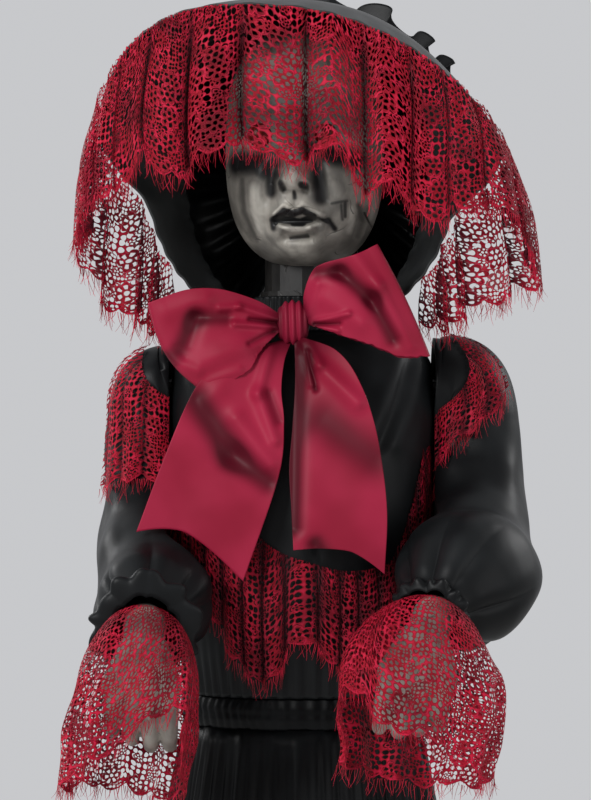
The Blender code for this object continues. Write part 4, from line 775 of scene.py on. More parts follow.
def makeBow():
    red, wall = finishes["red_satin"], bow["wall"]
    knot = bow["knot"]
    halfX, halfY, halfZ = (size / 2 for size in bow["knotSize"])

    def wrap(u, v):
        angle = u * fullTurn
        across = (v - 0.5) * 2
        swell = (1 - abs(across) ** 2.6) ** 0.5 if abs(across) < 1 else 0.0
        pleats = bow["knotPleat"] * cos(across * 4.4 * pi + 0.5 * sin(angle)) * swell
        size = 0.3 + 0.7 * swell
        y = (halfY * size + pleats) * cos(angle)
        z = (halfZ * size + pleats) * sin(angle)
        return knot + Vector((across * halfX, y, z))

    # painted shade on the knot, darker towards its ends where the loops and tails go in
    def knotShade(u, v):
        return 0.35 + 0.5 * abs(2 * v - 1) ** 2

    loops = ["bow_loop_left", "bow_loop_right"]
    sewn("bowKnot", "bow_knot", wrap, (96, 60), red, "torso", loops, wall, knotShade)

    for side, shape in bow["loops"].items():
        seed = bow["loopSeed"][side]
        upper, lower = ([flat(spot) for spot in shape[edge]] for edge in ("upper", "lower"))

        def loop(u, v):
            # v runs out along the front from the knot, round the fold at a half, and back behind
            out = 1 - abs(2 * v - 1)
            front = 1 if v < 0.5 else -1
            spot = through(upper, out).lerp(through(lower, out), u)
            spot += flat(shape["bulge"]) * (sin(u * pi) * out ** 3)
            spot.z += bow["fray"] * rough(out * 26, front, 0, seed) * eased((u - 0.9) * 10)
            puff = 0.25 + 0.75 * sin(min(out * 1.1, 1) * pi * 0.8)
            half = bow["loopThickness"] / 2 * puff * (1 - out ** 7) ** 0.5
            push = bow["creaseShare"] * stroked(spot.x, spot.z, shape["creases"]) if front > 0 else 0.0
            ripple = rough(u * 2.4 + out, out * 3.5, front * 2, seed + 2) * eased(out * 3)
            push += bow["loopRipple"] * ripple * front
            spot.y = knot.y - bow["loopForward"] * out ** 1.3 - half * front - push * (1 - out ** 12)
            return spot

        # painted shade on a loop: dark where it goes into the knot and in its inward creases
        def loopShade(u, v):
            out = 1 - abs(2 * v - 1)
            spot = through(upper, out).lerp(through(lower, out), u)
            return 0.75 * exp(-(out / 0.2) ** 2) + creaseShade(spot, shape["creases"])

        name, node = "bowLoop" + side.capitalize(), "bow_loop_" + side
        sewn(name, node, loop, (110, 200), red, "torso", ["bow_knot"], wall, loopShade)

    for side, shape in bow["tails"].items():
        seed = bow["tailSeed"][side]
        first, last = ([flat(spot) for spot in shape[edge]] for edge in ("first", "last"))
        depths = [Vector((0.0, depth, 0.0)) for depth in shape["depth"]]

        def tail(u, v):
            spot = through(first, v).lerp(through(last, v), u)
            rise, middle = shape["notch"]
            away = (u - middle) / (1 - middle) if u > middle else (middle - u) / middle
            spot.z += rise * (1 - away ** 1.5) * eased(v * 5 - 4)
            push = bow["creaseShare"] * stroked(spot.x, spot.z, shape["creases"])
            ripple = bow["tailRipple"] * rough(u * 2.2, v * 3, 0, seed) * eased(v * 3)
            spot.y = through(depths, v).y - push + ripple
            return spot

        # painted shade on a tail: dark just below the knot and in its inward creases
        def tailShade(u, v):
            spot = through(first, v).lerp(through(last, v), u)
            return 0.8 * exp(-(v / 0.24) ** 2) + creaseShade(spot, shape["creases"])

        name, node = "bowTail" + side.capitalize(), "bow_tail_" + side
        sewn(name, node, tail, (100, 190), red, "torso", ["bow_knot"], wall, tailShade)


makeBow()
print("bow made")


# Waist lace

waistLace = {
    "halfTurn": radians(82),
    "pleats": 19,
    "wave": 0.0075,
    "room": 0.0012,
    "hemLift": 0.007,
    "flare": 0.004,
    "edges": shareRows(  # share round from the figure's right, height of the seam, height of the hem
        (0, 318, 205), (0.07, 290, 190), (0.2, 258, 150), (0.29, 225, 95), (0.35, 198, 54), (0.43, 166, 36),
        (0.5, 150, 76), (0.58, 140, 48), (0.67, 142, 56), (0.73, 152, 72), (0.81, 204, 96), (0.93, 290, 155),
        (1, 320, 225),
    ),
}


def makeWaistLace():
    def phase(u):
        return u * waistLace["pleats"] * fullTurn + 2.4 * rough(u * 7, 0, 0, 2)

    def hang(u, v):
        angle = -pi / 2 + (u - 0.5) * 2 * waistLace["halfTurn"]
        seam, hem = between(waistLace["edges"], u)
        ridge = pleat(phase(u))
        height = seam + (hem - seam) * v - waistLace["hemLift"] * ridge * v
        beside = 1 - 0.93 * abs(cos(angle)) ** 5
        wave = waistLace["wave"] * ridge * (0.35 + 0.65 * v) + waistLace["flare"] * v
        around = angle - 0.016 * sin(phase(u)) * eased(v * 3) * beside
        return torsoPoint(around, height, waistLace["room"] + wave * beside)

    # painted shade: the whole waist lace half darkened, more in the pleat valleys
    def foldShade(u, v):
        return 0.5 + 0.5 * shade(phase(u))

    fringe = ("waistLaceFringe", 11, 0.0022, 0.019)
    rests = ["bodice"]
    sewn("waistLace", "waist_lace", hang, (520, 44), cuffLace, "torso", rests, 0, foldShade, fringe)


makeWaistLace()
print("waist lace made")


# Bonnet

bonnet = {
    "halfWidth": (0.191, 0.198),
    "edgeSquareness": 0.82,
    "rise": 0.12,
    "drop": 0.178,
    "tuck": 0.21,
    "peak": 1.5,
    "peakSide": -0.035,
    "roll": radians(3),
    "front": 0.16,
    "frontLow": 0.055,
    "start": radians(-52),
    "swell": (0.01, 0.02),
    "wall": 0.004,
    "seamHalfWidth": 0.122,
    "seamBack": 0.01,
    "seamDrop": 0.172,
    "seamRise": 0.1214,
    "archSquareness": 0.84,
    "crownStart": radians(-62),
    "crownBack": 0.175,
    "crownSwell": 0.012,
    "forward": 0.02,
    "brimGathers": 44,
    "crownGathers": 40,
    "crownGatherDepth": 0.0026,
}


def seamPoint(angle):
    rise = bonnet["seamRise"] if sin(angle) > 0 else bonnet["seamDrop"]
    power = bonnet["archSquareness"]
    x = bonnet["seamHalfWidth"] * squared(cos(angle), power)
    return head["centre"] + Vector((x, bonnet["seamBack"], rise * squared(sin(angle), power)))


def bySide(pair, angle):
    return pair[0] + (pair[1] - pair[0]) * eased((1 + cos(angle)) / 2)


def brimEdge(angle):
    up = max(sin(angle), 0)
    halfWidth = bySide(bonnet["halfWidth"], angle)
    if up:
        x = halfWidth * squared(cos(angle), bonnet["edgeSquareness"]) + bonnet["peakSide"] * up ** 2
        z = bonnet["rise"] * up ** bonnet["peak"]
    else:
        tucked = 1 - bonnet["tuck"] * eased(-sin(angle) / 0.35)
        x = halfWidth * squared(cos(angle), bonnet["archSquareness"]) * tucked
        z = -bonnet["drop"] * abs(sin(angle)) ** bonnet["archSquareness"]
    floor = sin(bonnet["start"])
    height = eased((sin(angle) - floor) / (1 - floor))
    y = bonnet["forward"] - bonnet["frontLow"] - (bonnet["front"] - bonnet["frontLow"]) * height
    return head["centre"] + Matrix.Rotation(bonnet["roll"], 3, "Y") @ Vector((x, y, z))


def brimPoint(angle, share=1.0):
    start = seamPoint(angle)
    start.y -= figure["seam"]
    point = start.lerp(brimEdge(angle), share)
    point.z += bySide(bonnet["swell"], angle) * sin(share * pi) * max(sin(angle), 0) ** 0.5
    return point


def crownPoint(angle, share):
    start = seamPoint(angle) - head["centre"]
    swell = 1 + bonnet["crownSwell"] / bonnet["seamHalfWidth"] * sin(share * pi)
    size = cos(share * pi / 2) ** 0.6 * swell
    depth = bonnet["seamBack"] + (bonnet["crownBack"] - bonnet["seamBack"]) * sin(share * pi / 2)
    return head["centre"] + Vector((start.x * size, depth, start.z * size))


veil = {
    "start": radians(-42),
    "folds": 21,
    "wave": 0.021,
    "gathers": 120,
    "gatherDepth": 0.001,
    "widen": 0.005,
    "sway": 0.016,
    "longer": 0.012,
    "unevenHem": 0.006,
    "flare": (0.01, 0.022),
    "hem": shareRows(  # share round from the figure's left, height of the hem
        (0, 1359), (0.06, 1366), (0.11, 1387), (0.16, 1401), (0.2, 1423), (0.235, 1456), (0.27, 1472),
        (0.311, 1468), (0.335, 1458), (0.372, 1474), (0.39, 1493), (0.405, 1476), (0.425, 1494),
        (0.441, 1532), (0.455, 1520), (0.472, 1511), (0.5, 1527), (0.537, 1526), (0.563, 1498), (0.6, 1515),
        (0.625, 1524), (0.645, 1495), (0.69, 1487), (0.73, 1474), (0.765, 1449), (0.8, 1440), (0.841, 1436),
        (0.87, 1396), (0.92, 1368), (1, 1355),
    ),
}


def makeBonnet():
    satin = finishes["black_satin"]
    span = pi - 2 * bonnet["start"]
    onCrown, onBrim = ["bonnet_crown"], ["bonnet_brim"]

    def brim(u, v):
        angle = bonnet["start"] + u * span
        point = brimPoint(angle, v)
        out = (seamPoint(angle) - head["centre"]).normalized()
        gather = sin(angle * bonnet["brimGathers"] + 2.2 * rough(u * 8, v, 0, 3))
        depth = 0.0007 * hump(v, 1.0, 0.12) + 0.0012 * hump(v, 0.0, 0.12)
        return point + out * (gather * depth + 0.002 * rough(u * 5, v * 2, 0, 7) * sin(v * pi))

    sewn("bonnetBrim", "bonnet_brim", brim, (360, 60), litBonnetSatin, "head", onCrown, 0.0022)

    def crown(u, v):
        angle = bonnet["crownStart"] + u * (pi - 2 * bonnet["crownStart"])
        point = crownPoint(angle, v)
        out = (point - head["centre"]).normalized()
        gather = cos(angle * bonnet["crownGathers"] + 2.0 * rough(u * 6, v * 2, 0, 4))
        depth = (0.0006 + bonnet["crownGatherDepth"] * sin(v * pi) ** 0.7) * (1 - v * 0.5)
        return point + out * (gather * depth)

    sewn("bonnetCrown", "bonnet_crown", crown, (360, 70), satin, "head", onBrim, 0.0016)

    edges = {"front": 0.27, "back": 0.94, "edge": 0.008, "drop": 0.01, "folds": 7}

    def curtain(u, v):
        back = edges["front"] + (edges["back"] - edges["front"]) * v
        across = edges["edge"] + (1 - 2 * edges["edge"]) * u
        first = crownPoint(bonnet["crownStart"], back)
        point = first.lerp(crownPoint(pi - bonnet["crownStart"], back), across)
        hang = edges["drop"] * sin(u * pi) * (1 - v)
        point.z -= hang * (0.8 + 0.2 * cos(u * edges["folds"] * fullTurn))
        return point

    sewn("bonnetCurtain", "bonnet_curtain", curtain, (120, 30), satin, "head", onCrown, 0.0012)

    ruffle = {"start": radians(12), "span": radians(156), "height": (0.02, 0.042), "folds": 8, "wave": 0.0055}

    def frill(u, v):
        angle = ruffle["start"] + u * ruffle["span"]
        base = seamPoint(angle) - head["centre"]
        out = Vector((base.x, 0, base.z)).normalized()
        along = Vector((-out.z, 0, out.x))
        phase = u * ruffle["folds"] * fullTurn + 4.0 * rough(u * 6, 0, 0, 2)
        wave = sin(phase) * ruffle["wave"] * (0.15 + 0.85 * v)
        uneven = 0.8 + 0.14 * cos(phase + 0.8) + 0.3 * rough(u * 14, 0, 0, 5)
        height = bySide(ruffle["height"], angle) * v * min(uneven, 1.0)
        point = seamPoint(angle) + out * (bonnet["crownSwell"] / 8 + height)
        point += along * (0.004 * sin(2 * phase) * v)
        point.y += bonnet["seamBack"] + wave
        return point

    sewn("bonnetFrill", "bonnet_frill", frill, (520, 16), satin, "head", onCrown, 0.0009)

    veilSpan = pi - 2 * veil["start"]

    def phase(u):
        return u * veil["folds"] * fullTurn + 5.0 * rough(u * 8, 0, 0, 1)

    def fall(u, v):
        angle = veil["start"] + u * veilSpan
        top = brimPoint(angle)
        out = Vector((cos(angle) * 0.85, -max(sin(angle), 0.15), 0)).normalized()
        along = Vector((-out.y, out.x, 0))
        start = top + out * (bonnet["wall"] / 2 + 0.001)
        ridge = pleat(phase(u))
        drop = start.z - between(veil["hem"], u)[0] + veil["unevenHem"] * rough(u * 22, 0, 0, 9)
        depth = veil["wave"] * (0.85 + 0.9 * rough(u * 11, 0, 0, 6))
        fold = (ridge - 0.45) * depth * (0.3 + 0.7 * eased(v * 1.8))
        gather = veil["gatherDepth"] * sin(u * veil["gathers"] * fullTurn) * exp(-v * 9)
        spread = min(max(1 + 2.5 * sin(angle), 0), 1) * abs(cos(angle))
        flare = bySide(veil["flare"], angle) * spread * (1 - (1 - v) ** 2) + 0.02 * drop * v
        longer = veil["longer"] * (ridge - 0.5) * v
        widen = veil["widen"] * sin(phase(u)) * eased(v * 2.5)
        sway = widen + veil["sway"] * rough(u * 7, v * 1.2, 0, 8) * v
        return start + out * (flare + fold + gather) + along * sway - Vector((0, 0, (drop + longer) * v))

    # painted shade in the veil's pleat valleys, stronger lower down
    def foldShade(u, v):
        return shade(phase(u)) * (0.5 + 0.4 * eased(v * 4))

    lace, fringe = finishes["red_lace"], ("veilFringe", 5, 0.0019, 0.022, 0.008, 0.006, 0.0004)
    sewn("veilLace", "bonnet_lace", fall, (1080, 50), lace, "head", onBrim, 0, foldShade, fringe)


makeBonnet()
print("bonnet made")


# Head

face = {  # strokes on the face, each with the x and z of its two ends from the head's centre
    "form": metres(  # then its spread and how far it stands out; a stroke with an x is made on both sides
        (0, 20, 0, -30, 8.5, 12), (0, -36, 0, -40, 9.8, 18), (13, -41, 14, -44, 5.2, 8.5),
        (9.5, -48.5, 11, -48.5, 3.2, -7), (26, 4, 36, 0, 17, -12), (22, -26, 27, -56, 7, -6),
        (42, -34, 46, -50, 19, 7), (-10, -74, 10, -74, 17, 6), (22, -72, 8, -66.5, 4.2, 4.5),
        (7, -66.5, 2, -69, 3.6, 3), (-20, -78, 20, -78, 3.4, -7), (-13, -85, 13, -85, 4.6, 6.5),
        (-11, -93.5, 11, -93.5, 4.2, -5.5), (-6, -106, 6, -106, 13, 9), (30, -78, 33, -84, 5, -3.5),
        (0, -54, 0, -62, 2.8, -2.2),
    ),
    # the soft strokes are black paint on the doll and painted shade: nostrils, under the nose, jaw and chin,
    # the face's sides and under the bonnet
    "softMarksAndShade": strokeRows(  # then its spread and how black it is, with soft edges
        (-60, -20, -24, -22, 16, 1), (-50, 26, -10, 30, 34, 0.62), (10, 16, 46, 30, 30, 0.55),
        (-25, -26, -23.6, -49.5, 7.3, 1), (18, -12, 55, -18, 14.6, 1), (20.5, -20, 23.2, -56, 8.8, 1),
        (-40, -24, -22.5, -33, 11, 1), (34, -61, 48, -58, 2, 0.75), (42.5, -61.7, 43, -75.5, 1.9, 0.75),
        (46.2, -60, 45.5, -72.5, 2.5, 0.85), (-0.7, -50.8, -0.5, -56, 2.6, 0.9),
        (-13.5, -42.5, -12, -47, 4.4, 1), (7.2, -45, 11, -45.5, 4.4, 1), (-8, -49.5, 6, -49.5, 3.4, 0.43),
        (-53.5, -36, -53.5, -66, 5.4, 0.58), (-53.5, -66, -42, -94, 4.9, 0.58),
        (-70, -30, -62, -80, 7.3, 0.27), (58, -61.7, 60, -75, 4.4, 0.62), (60, -75, 54.6, -89.5, 4.1, 0.55),
        (-40, -100, -20, -113, 9.8, 0.47), (26, -110, 60, -93, 8.5, 0.35),
        (-6.6, -93.4, 9.8, -91.4, 2.5, 0.85), (-24, -76.5, -23, -83.5, 4, 0.85),
        (30, -76.5, 35.2, -84, 3.4, 1), (-24, -90, -15, -92, 4.9, 0.23),
    ),
    "ink": strokeRows(  # the same, with clear edges
        (-21, -77, -11, -69, 3.6, 1.1), (-11, -69, -3, -71.2, 3.8, 1.1), (-3, -71.2, 7, -68.5, 3.8, 1.1),
        (7, -68.5, 17, -73.8, 3.6, 1.1), (17, -73.8, 29, -77.8, 1.8, 0.8),
        (-16.4, -75.2, -2.4, -77.8, 4.2, 1.1), (-2, -79.2, 5.8, -79.4, 4.6, 1.1),
        (6, -78, 13.2, -75.8, 3.8, 1.1), (62.7, -67.5, 66.8, -79.1, 1.1, 0.6),
        (77, -82.6, 66.2, -96.5, 1.1, 0.6), (72.5, -86, 64, -98.5, 1.1, 0.5),
    ),
    # the pale strokes are pale paint and painted highlights on the nose, lips, cheeks and chin
    "pale": strokeRows(  # then its spread and how pale it is
        (-0.4, -24, 0.4, -41, 9, 1), (52.2, -65.2, 49.9, -84.9, 5, 0.9), (73.2, -59.4, 73.2, -75.6, 8, 0.7),
        (-5.9, -106.9, 15, -106.9, 7.5, 0.8), (-16.5, -40, -16.5, -44, 2.2, 0.4),
        (-21.5, -71.2, -12, -62.8, 1.8, 1), (-10.5, -62.8, -1.2, -68, 1.8, 1), (-1.2, -68, 6, -62.2, 1.8, 1),
        (7, -61.8, 30, -75, 2.8, 1), (-18, -81.5, -6, -86.6, 2, 0.95), (-6, -86.6, 8, -86.6, 2, 1),
        (8, -86.6, 19.5, -80.5, 2, 0.95), (-41, -40, -40, -83, 9.2, 0.85), (-29, -56, -31, -85, 5.7, 0.42),
        (-2, -108, 7, -111, 9.2, 0.68), (-20, -98, 25, -99, 8, 0.42), (35, -44, 37, -51, 6.9, 0.59),
        (53, -66, 50, -86, 5.5, 0.77), (70, -48, 70, -80, 6.9, 0.55), (-9, -59, -6, -62, 2.2, 0.5),
    ),
    "columns": 400,
    "rows": 240,
    "frontShare": 0.36,  # how wide a column is in front, next to an even one
}
eyes = {"radius": 0.0124, "depth": 0.0105}


def headPoint(turn, rise):
    girth = abs(cos(rise)) ** head["squareness"]
    x = head["halfWidth"] * girth * sin(turn)
    y = -head["halfDepth"] * girth * cos(turn)
    z = head["halfHeight"] * squared(sin(rise), head["squareness"])
    if cos(turn) > 0:
        push = stroked(x, z, face["form"])
        if x:
            push += stroked(-x, z, [row for row in face["form"] if row[0] > 0])
        y -= push * cos(turn) ** 0.7
    return Vector((x, y, z))


def makeHead():
    shape = bmesh.new()
    bmesh.ops.create_grid(shape, x_segments=face["columns"], y_segments=face["rows"], size=1.0)
    marksAndShading = shape.verts.layers.float.new("marksAndShading")
    front = face["frontShare"]
    for vert in shape.verts:
        around, rise = vert.co.x, vert.co.y * pi / 2
        turn = pi * (front * around + (1 - front) * around ** 3)
        spot = headPoint(turn, rise)
        vert.co = spot + head["centre"]
        if cos(turn) > 0:
            # black paint and painted shade
            softMarksAndShade = stroked(spot.x, spot.z, face["softMarksAndShade"], 2, max)
            dark = min(softMarksAndShade + stroked(spot.x, spot.z, face["ink"], 4, max), 1.1)
            # pale paint and painted highlights
            pale = stroked(spot.x, spot.z, face["pale"], 2, max)
            vert[marksAndShading] = dark - pale * max(1 - dark * 1.6, 0)
    bmesh.ops.remove_doubles(shape, verts=shape.verts, dist=mergeDistance)
    bmesh.ops.recalc_face_normals(shape, faces=shape.faces)
    piece = meshed("dollHead", shape, finishes["grey_skin"], "head", "grey_skin", headTurn)
    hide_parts("face_mask", "head_back")

    for side in signOf:
        low, high = (Vector(corner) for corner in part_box("eye_" + side))
        ball = bmesh.new()
        bmesh.ops.create_uvsphere(ball, u_segments=48, v_segments=32, radius=eyes["radius"])
        bmesh.ops.scale(ball, vec=(1.0, eyes["depth"] / eyes["radius"], 1.0), verts=ball.verts)
        bmesh.ops.translate(ball, vec=(low + high) / 2, verts=ball.verts)
        lens = meshed("eyeLens" + side.capitalize(), ball, finishes["eye_lens"], "head", "eye_lens")
        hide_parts("eye_" + side)


makeHead()
print("head made")


# Arms

arms = {
    "routes": {
        "left": metres(
            (131, 0, 0), (156, 0, -6), (168, -1, -45), (171, -4, -100), (171, -20, -150), (166, -65, -176),
            (148, -130, -194), (120, -200, -212), (112, -222, -217),
        ),
        "right": metres(
            (131, 0, 0), (146, 0, -8), (150, -1, -45), (152, -4, -100), (153, -20, -150), (153, -65, -178),
            (150, -130, -200), (146, -200, -220), (144, -222, -226),
        ),
    },
    "clothRoutes": {  # the middle of the sleeve, which takes the elbow in a wider bend
        "left": metres(
            (131, 0, 0), (156, 0, -6), (168, -6, -45), (171, -22, -95), (171, -52, -137), (165, -93, -168),
            (148, -142, -190), (120, -200, -212), (112, -222, -217),
        ),
        "right": metres(
            (131, 0, 0), (146, 0, -8), (150, -6, -48), (152, -20, -97), (153, -47, -142), (150, -88, -177),
            (147, -140, -202), (146, -200, -220), (144, -222, -226),
        ),
    },
    "radii": {
        "left": shareRows(
            (0, 50), (0.08, 53), (0.25, 48), (0.45, 50), (0.6, 56), (0.7, 59), (0.78, 56), (0.832, 39),
            (0.855, 30), (0.87, 34.5), (0.888, 34.5), (0.905, 28.5),
        ),
        "right": shareRows(
            (0, 44), (0.08, 45), (0.25, 43), (0.45, 46), (0.6, 51), (0.7, 53), (0.78, 52), (0.825, 40),
            (0.845, 35), (0.862, 48), (0.884, 49), (0.905, 30),
        ),
    },
    "lift": {"left": 0.01, "right": 0.0},
    "widen": {"left": 0.008, "right": 0.004},
    "inward": {"left": -0.004, "right": 0.01},
    "sleeveEnd": 0.905,
    "gatherAt": {"left": 0.855, "right": 0.845},
    "sleeveStart": 0.1305,
    "stations": 280,
    "seed": {"left": 3.0, "right": 8.0},
    "puffs": 8,
    "puffDepth": 0.007,
    "softFold": 0.005,
    "longFold": 0.003,
    "trim": {"left": (17, 0.0026), "right": (9, 0.0038)},  # how many folds past the gather, how deep
    "gripStart": 0.82,
    "gripEnd": 0.93,
    "wristRadius": 0.02,
    "wristLength": 0.038,
    "palmStart": 0.02,
    "palm": 0.042,
    "fingerGap": 0.0175,
    "knuckleRadii": (0.014, 0.011),
    "thumbRadii": (0.012, 0.01, 0.0095, 0.008),
    "fingers": ((0.027, 0.0092, 0.45), (0.018, 0.0084, 0.6), (0.013, 0.0076, 0.45)),  # length, radius, curl
    "handAim": {"left": Vector((-0.2, -0.52, -0.83)), "right": Vector((-0.02, -0.5, -0.86))},
}
shoulderLace = {
    "pleats": 4,
    "wave": 0.0065,
    "room": 0.0026,
    "sides": {  # at both ends, the outer first: turns round the arm at seam and hem, shares of the arm there
        "left": {"top": (-0.24, 0.2), "low": (-0.16, 0.21), "seam": (0.035, 0.225), "hem": (0.185, 0.42)},
        "right": {"top": (-0.23, 0.19), "low": (-0.19, 0.18), "seam": (0.06, 0.15), "hem": (0.43, 0.44)},
    },
}
cuffs = {
    "start": 0.886,
    "startRadius": 0.0305,
    "length": 0.14,
    "aim": {"left": Vector((-0.14, -0.56, -0.82)), "right": Vector((-0.1, -0.52, -0.85))},
    "halfWidth": {"left": 0.075, "right": 0.058},
    "halfHeight": 0.048,
    "folds": 9,
    "wave": 0.0055,
    "crumple": 0.005,
    "sag": 0.01,
    "hem": {  # share round from the figure's left over the front, and how long the lace is there
        "left": (
            (0, 1.05), (0.12, 1.1), (0.2, 1), (0.27, 0.96), (0.34, 0.9), (0.385, 0.64), (0.43, 0.57),
            (0.47, 0.8), (0.51, 1), (0.62, 1), (0.75, 0.98), (0.88, 1), (1, 1.05),
        ),
        "right": (
            (0, 1.02), (0.04, 0.93), (0.09, 0.56), (0.15, 0.62), (0.22, 0.84), (0.3, 1), (0.4, 1.12),
            (0.5, 1.12), (0.62, 1), (0.75, 0.95), (0.9, 1.05), (1, 1.02),
        ),
    },
}


def armPoint(side, share, route="routes"):
    point = through(arms[route][side], share)
    return Vector((signOf[side] * point.x, point.y, figure["shoulderZ"] + point.z))


def sleeveFrames(side):
    frames, route = [], "clothRoutes"
    across = Vector((0, -1, 0))
    count = arms["stations"]
    for index in range(count + 1):
        share = index / count
        ahead = armPoint(side, min(share + 0.01, 1), route) - armPoint(side, max(share - 0.01, 0), route)
        ahead.normalize()
        if index == 0:
            ahead = Vector((signOf[side], 0, 0))
        across = (across - ahead * across.dot(ahead)).normalized()
        frames.append((armPoint(side, share, route), across.copy(), ahead.cross(across)))
    return frames


def sleevePoint(side, frames, turn, share, grow):
    spot = share * (len(frames) - 1)
    index = min(int(spot), len(frames) - 2)
    centre, across, over = (a.lerp(b, spot - index) for a, b in zip(frames[index], frames[index + 1]))
    angle = turn * fullTurn
    radius = between(arms["radii"][side], share)[0] + grow
    inward = arms["inward"][side] * signOf[side]
    full = arms["lift"][side] * cos(angle) + arms["widen"][side] * abs(sin(angle))
    radius += hump(share, 0.72, 0.1) * (full + inward * sin(angle))
    point = centre + (across * cos(angle) + over * sin(angle)) * radius
    beside = arms["sleeveStart"] * (1 - eased((share - 0.66) * 4))
    return Vector((copysign(max(abs(point.x), beside), centre.x), point.y, point.z))


def makeHand(side, wrist, forearm):
    thumb = -signOf[side]
    aim = arms["handAim"][side].normalized()
    sideways = Vector((thumb, 0, 0))
    sideways = (sideways - aim * sideways.dot(aim)).normalized()
    back = sideways.cross(aim) * thumb
    back = back if back.z > 0 else -back
    shape = bmesh.new()

    def limb(start, end, first, last):
        run = end - start
        size = {"radius1": first, "radius2": last, "depth": run.length}
        made = bmesh.ops.create_cone(shape, cap_ends=True, segments=24, **size)
        turn = run.to_track_quat("Z", "Y").to_matrix().to_4x4()
        bmesh.ops.transform(shape, matrix=Matrix.Translation((start + end) / 2) @ turn, verts=made["verts"])
        for spot, radius in ((start, first), (end, last)):
            ball = bmesh.ops.create_icosphere(shape, subdivisions=3, radius=radius)
            bmesh.ops.translate(shape, vec=spot, verts=ball["verts"])

    wide = arms["wristRadius"]
    palm = wrist + aim * arms["palmStart"]
    limb(wrist - forearm * (arms["wristLength"] - wide), palm, wide, wide * 0.95)
    for finger in range(4):
        spread = (finger - 1.5) * arms["fingerGap"]
        root = palm + aim * (arms["palm"] - 0.004 * abs(finger - 1.2)) - sideways * spread
        limb(palm - sideways * spread * 0.4, root, *arms["knuckleRadii"])
        point, bend = root, 0.25
        for length, radius, curl in arms["fingers"]:
            bend += curl * (1 + 0.12 * finger)
            step = (aim * cos(bend - 0.45) - back * sin(bend - 0.45)) * length
            limb(point, point + step, radius, radius * 0.9)
            point = point + step
    thumbRoot = palm + sideways * 0.01 + aim * 0.008 - back * 0.004
    knuckle = thumbRoot + sideways * 0.01 + aim * 0.034 - back * 0.018
    limb(thumbRoot, knuckle, *arms["thumbRadii"][:2])
    limb(knuckle, knuckle + aim * 0.028 - back * 0.008 - sideways * 0.006, *arms["thumbRadii"][2:])
    piece = meshed("hand" + side.capitalize(), shape, finishes["grey_skin"], side + "_arm", "grey_skin")
    skin = piece.modifiers.new("skin", "REMESH")
    skin.mode, skin.voxel_size, skin.use_smooth_shade = "VOXEL", 0.0018, True
    soft = piece.modifiers.new("soft", "SMOOTH")
    soft.iterations, soft.factor = 6, 0.5
    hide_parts("hand_" + side)


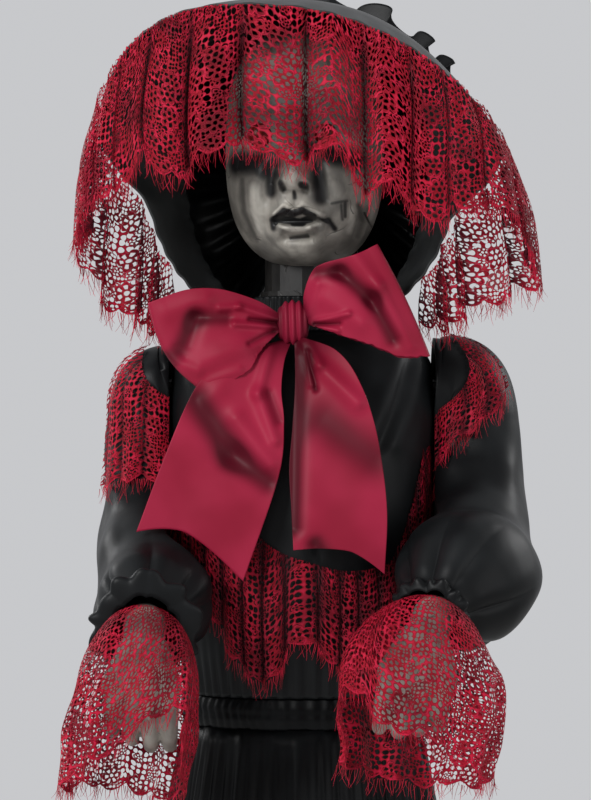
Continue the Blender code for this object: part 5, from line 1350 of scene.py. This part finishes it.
def makeArm(side):
    body = side + "_arm"
    satin = finishes["black_satin"]
    frames = sleeveFrames(side)
    seed, flip = arms["seed"][side], signOf[side]
    title = side.capitalize()
    gatherAt = arms["gatherAt"][side]

    def sleeve(u, v):
        angle, share = u * fullTurn, v * arms["sleeveEnd"]
        uneven = 1.5 * swirl(angle, 1.5, share * 3, seed)
        puffs = abs(sin(angle * arms["puffs"] / 2 + uneven)) ** 0.8
        near = eased((share - 0.7) * 8) * (1 - 0.6 * eased((share - gatherAt + 0.03) * 30))
        gathered = (puffs - 0.62) * arms["puffDepth"] * near
        soft = arms["softFold"] * swirl(angle, 1.1, share * 8, seed) * eased(share * 6)
        long = arms["longFold"] * swirl(angle, 1.6, share * 5, seed + 1) * eased(share * 8)
        folds, depth = arms["trim"][side]
        bend = angle * folds + 2.2 * swirl(angle, 2, 0, seed + 2)
        trim = depth * cos(bend) * eased((share - gatherAt) * 40) * (1 - eased((share - 0.88) * 50))
        return sleevePoint(side, frames, u, share, gathered + soft + long + trim)

    tube = ["arm_tube_" + side]
    sewn("sleeve" + title, "sleeve_" + side, sleeve, (236, 196), satin, body, tube, 0.001)

    lace = shoulderLace["sides"][side]

    def phase(u):
        return u * shoulderLace["pleats"] * fullTurn + 2.0 * rough(u * 4, 0, 0, seed)

    def flounce(u, v):
        top, low, seam, hem = (lace[edge][0] + (lace[edge][1] - lace[edge][0]) * u for edge in lace)
        ridge = pleat(phase(u))
        share = seam + (hem - seam) * v * (0.94 + 0.06 * ridge)
        wave = shoulderLace["wave"] * ridge * (0.35 + 0.65 * v)
        turn = top + (low - top) * v ** 0.7 + 0.01 * sin(phase(u)) * v
        return sleevePoint(side, frames, flip * turn, share, shoulderLace["room"] + wave)

    # painted shade in the pleat valleys of the shoulder lace
    def foldShade(u, v):
        return shade(phase(u)) * 0.7

    name, node, rests = "shoulderLace" + title, "shoulder_lace_" + side, ["sleeve_" + side]
    fringe = ("shoulderFringe" + title, 21 + flip, 0.002, 0.022)
    sewn(name, node, flounce, (260, 44), cuffLace, body, rests, 0, foldShade, fringe)

    elbowEnd, wrist = armPoint(side, arms["gripStart"]), armPoint(side, arms["gripEnd"])
    forearm = (wrist - elbowEnd).normalized()
    makeHand(side, wrist, forearm)

    aim = cuffs["aim"][side].normalized()
    start = armPoint(side, cuffs["start"])
    length = cuffs["length"]
    dip = start + forearm * 0.018 + aim * length * 0.24
    fall = (start, dip, start + aim * length * 0.66, start + aim * length)

    def cuff(u, v):
        angle = u * fullTurn
        reach = v * between(cuffs["hem"][side], u)[0]
        run = (through(fall, min(reach + 0.02, 1)) - through(fall, max(min(reach, 1) - 0.02, 0))).normalized()
        across = (Vector((1, 0, 0)) - run * run.x).normalized()
        over = run.cross(across)
        grown = (1 - (1 - min(reach / 0.62, 1)) ** 2) ** 0.75 - 0.17 * eased((reach - 0.62) * 2.6)
        bend = angle * cuffs["folds"] + 1.8 * swirl(angle, 2, 0, seed)
        wave = cuffs["wave"] * eased(reach * 1.1) * cos(bend)
        crumple = cuffs["crumple"] * swirl(angle, 2, reach * 4, seed + 4) * eased(reach * 2)
        wide, tall = (
            cuffs["startRadius"] + (half - cuffs["startRadius"]) * grown + wave + crumple
            for half in (cuffs["halfWidth"][side], cuffs["halfHeight"])
        )
        middle = through(fall, min(reach, 1)) + aim * max(reach - 1, 0) * length
        sag = Vector((0, 0, -cuffs["sag"] * reach))
        return middle + sag + across * cos(angle) * wide + over * sin(angle) * tall

    name, node, rests = "laceCuff" + title, "lace_cuff_" + side, ["hand_" + side]
    fringe = ("cuffFringe" + title, 31 + flip, 0.0021, 0.02)
    sewn(name, node, cuff, (480, 56), cuffLace, body, rests, fringe=fringe)


for armSide in signOf:
    makeArm(armSide)
print("arms made")


# Floor, lights and camera

studio = {
    "floorRadius": 5.0,
    "light": 0.34,
    "behind": 0.6,
    "cameraX": -0.0065,
    "distance": 2.6,
    "eyeZ": 1.29,
    "lens": 117.0,
    "sensor": 36.0,
    "aimZ": 1.25,
    "backdrop": (0.96, 0.97, 1.0, 1.0),
    "lamps": {  # where it stands, its power and how wide it is
        "key": ((-1.8, -2.5, 2.6), 84.0, 1.1),
        "fill": ((2.3, -2.2, 1.7), 16.0, 1.6),
        "rimLeft": ((-2.1, 1.2, 2.2), 20.0, 0.9),
        "rimRight": ((2.2, 1.0, 2.4), 22.0, 0.9),
    },
}


def makeStudio():
    paint = Paint("palePaper", (0.87, 0.87, 0.86), 0.85)
    grain = paint.noisy(paint.spot(), 900.0, 2.0)
    paint.carve(grain, 0.0002, 0.3)
    shape = bmesh.new()
    bmesh.ops.create_circle(shape, cap_ends=True, segments=128, radius=studio["floorRadius"])
    mesh = bpy.data.meshes.new("floor")
    shape.to_mesh(mesh)
    shape.free()
    mesh.materials.append(paint.made)
    stood("floor", mesh)

    for name, (spot, power, size) in studio["lamps"].items():
        lamp = bpy.data.lights.new(name, "AREA")
        lamp.shape, lamp.size, lamp.energy = "SQUARE", size, power
        aim = Vector((0, 0, studio["aimZ"])) - Vector(spot)
        stood(name, lamp, spot, aim.to_track_quat("-Z", "Y").to_euler())

    world = bpy.data.worlds.new("studio")
    world.use_nodes = True
    tree = world.node_tree
    background = tree.nodes["Background"]
    background.inputs["Color"].default_value = studio["backdrop"]
    path = tree.nodes.new("ShaderNodeLightPath")
    seen = path.outputs["Is Camera Ray"]
    for ray in ("Is Glossy Ray", "Is Transmission Ray"):
        either = tree.nodes.new("ShaderNodeMath")
        either.operation = "MAXIMUM"
        tree.links.new(seen, either.inputs[0])
        tree.links.new(path.outputs[ray], either.inputs[1])
        seen = either.outputs[0]
    level = tree.nodes.new("ShaderNodeMix")
    tree.links.new(seen, level.inputs["Factor"])
    level.inputs["A"].default_value = studio["light"]
    level.inputs["B"].default_value = studio["behind"]
    tree.links.new(level.outputs["Result"], background.inputs["Strength"])
    bpy.context.scene.world = world

    camera = bpy.data.cameras.new("camera")
    camera.sensor_width, camera.lens = studio["sensor"], studio["lens"]
    spot = (studio["cameraX"], -studio["distance"], studio["eyeZ"])
    bpy.context.scene.camera = stood("camera", camera, spot, (pi / 2, 0, 0))
    bpy.context.scene.view_settings.view_transform = "Standard"


makeStudio()
print("studio made")
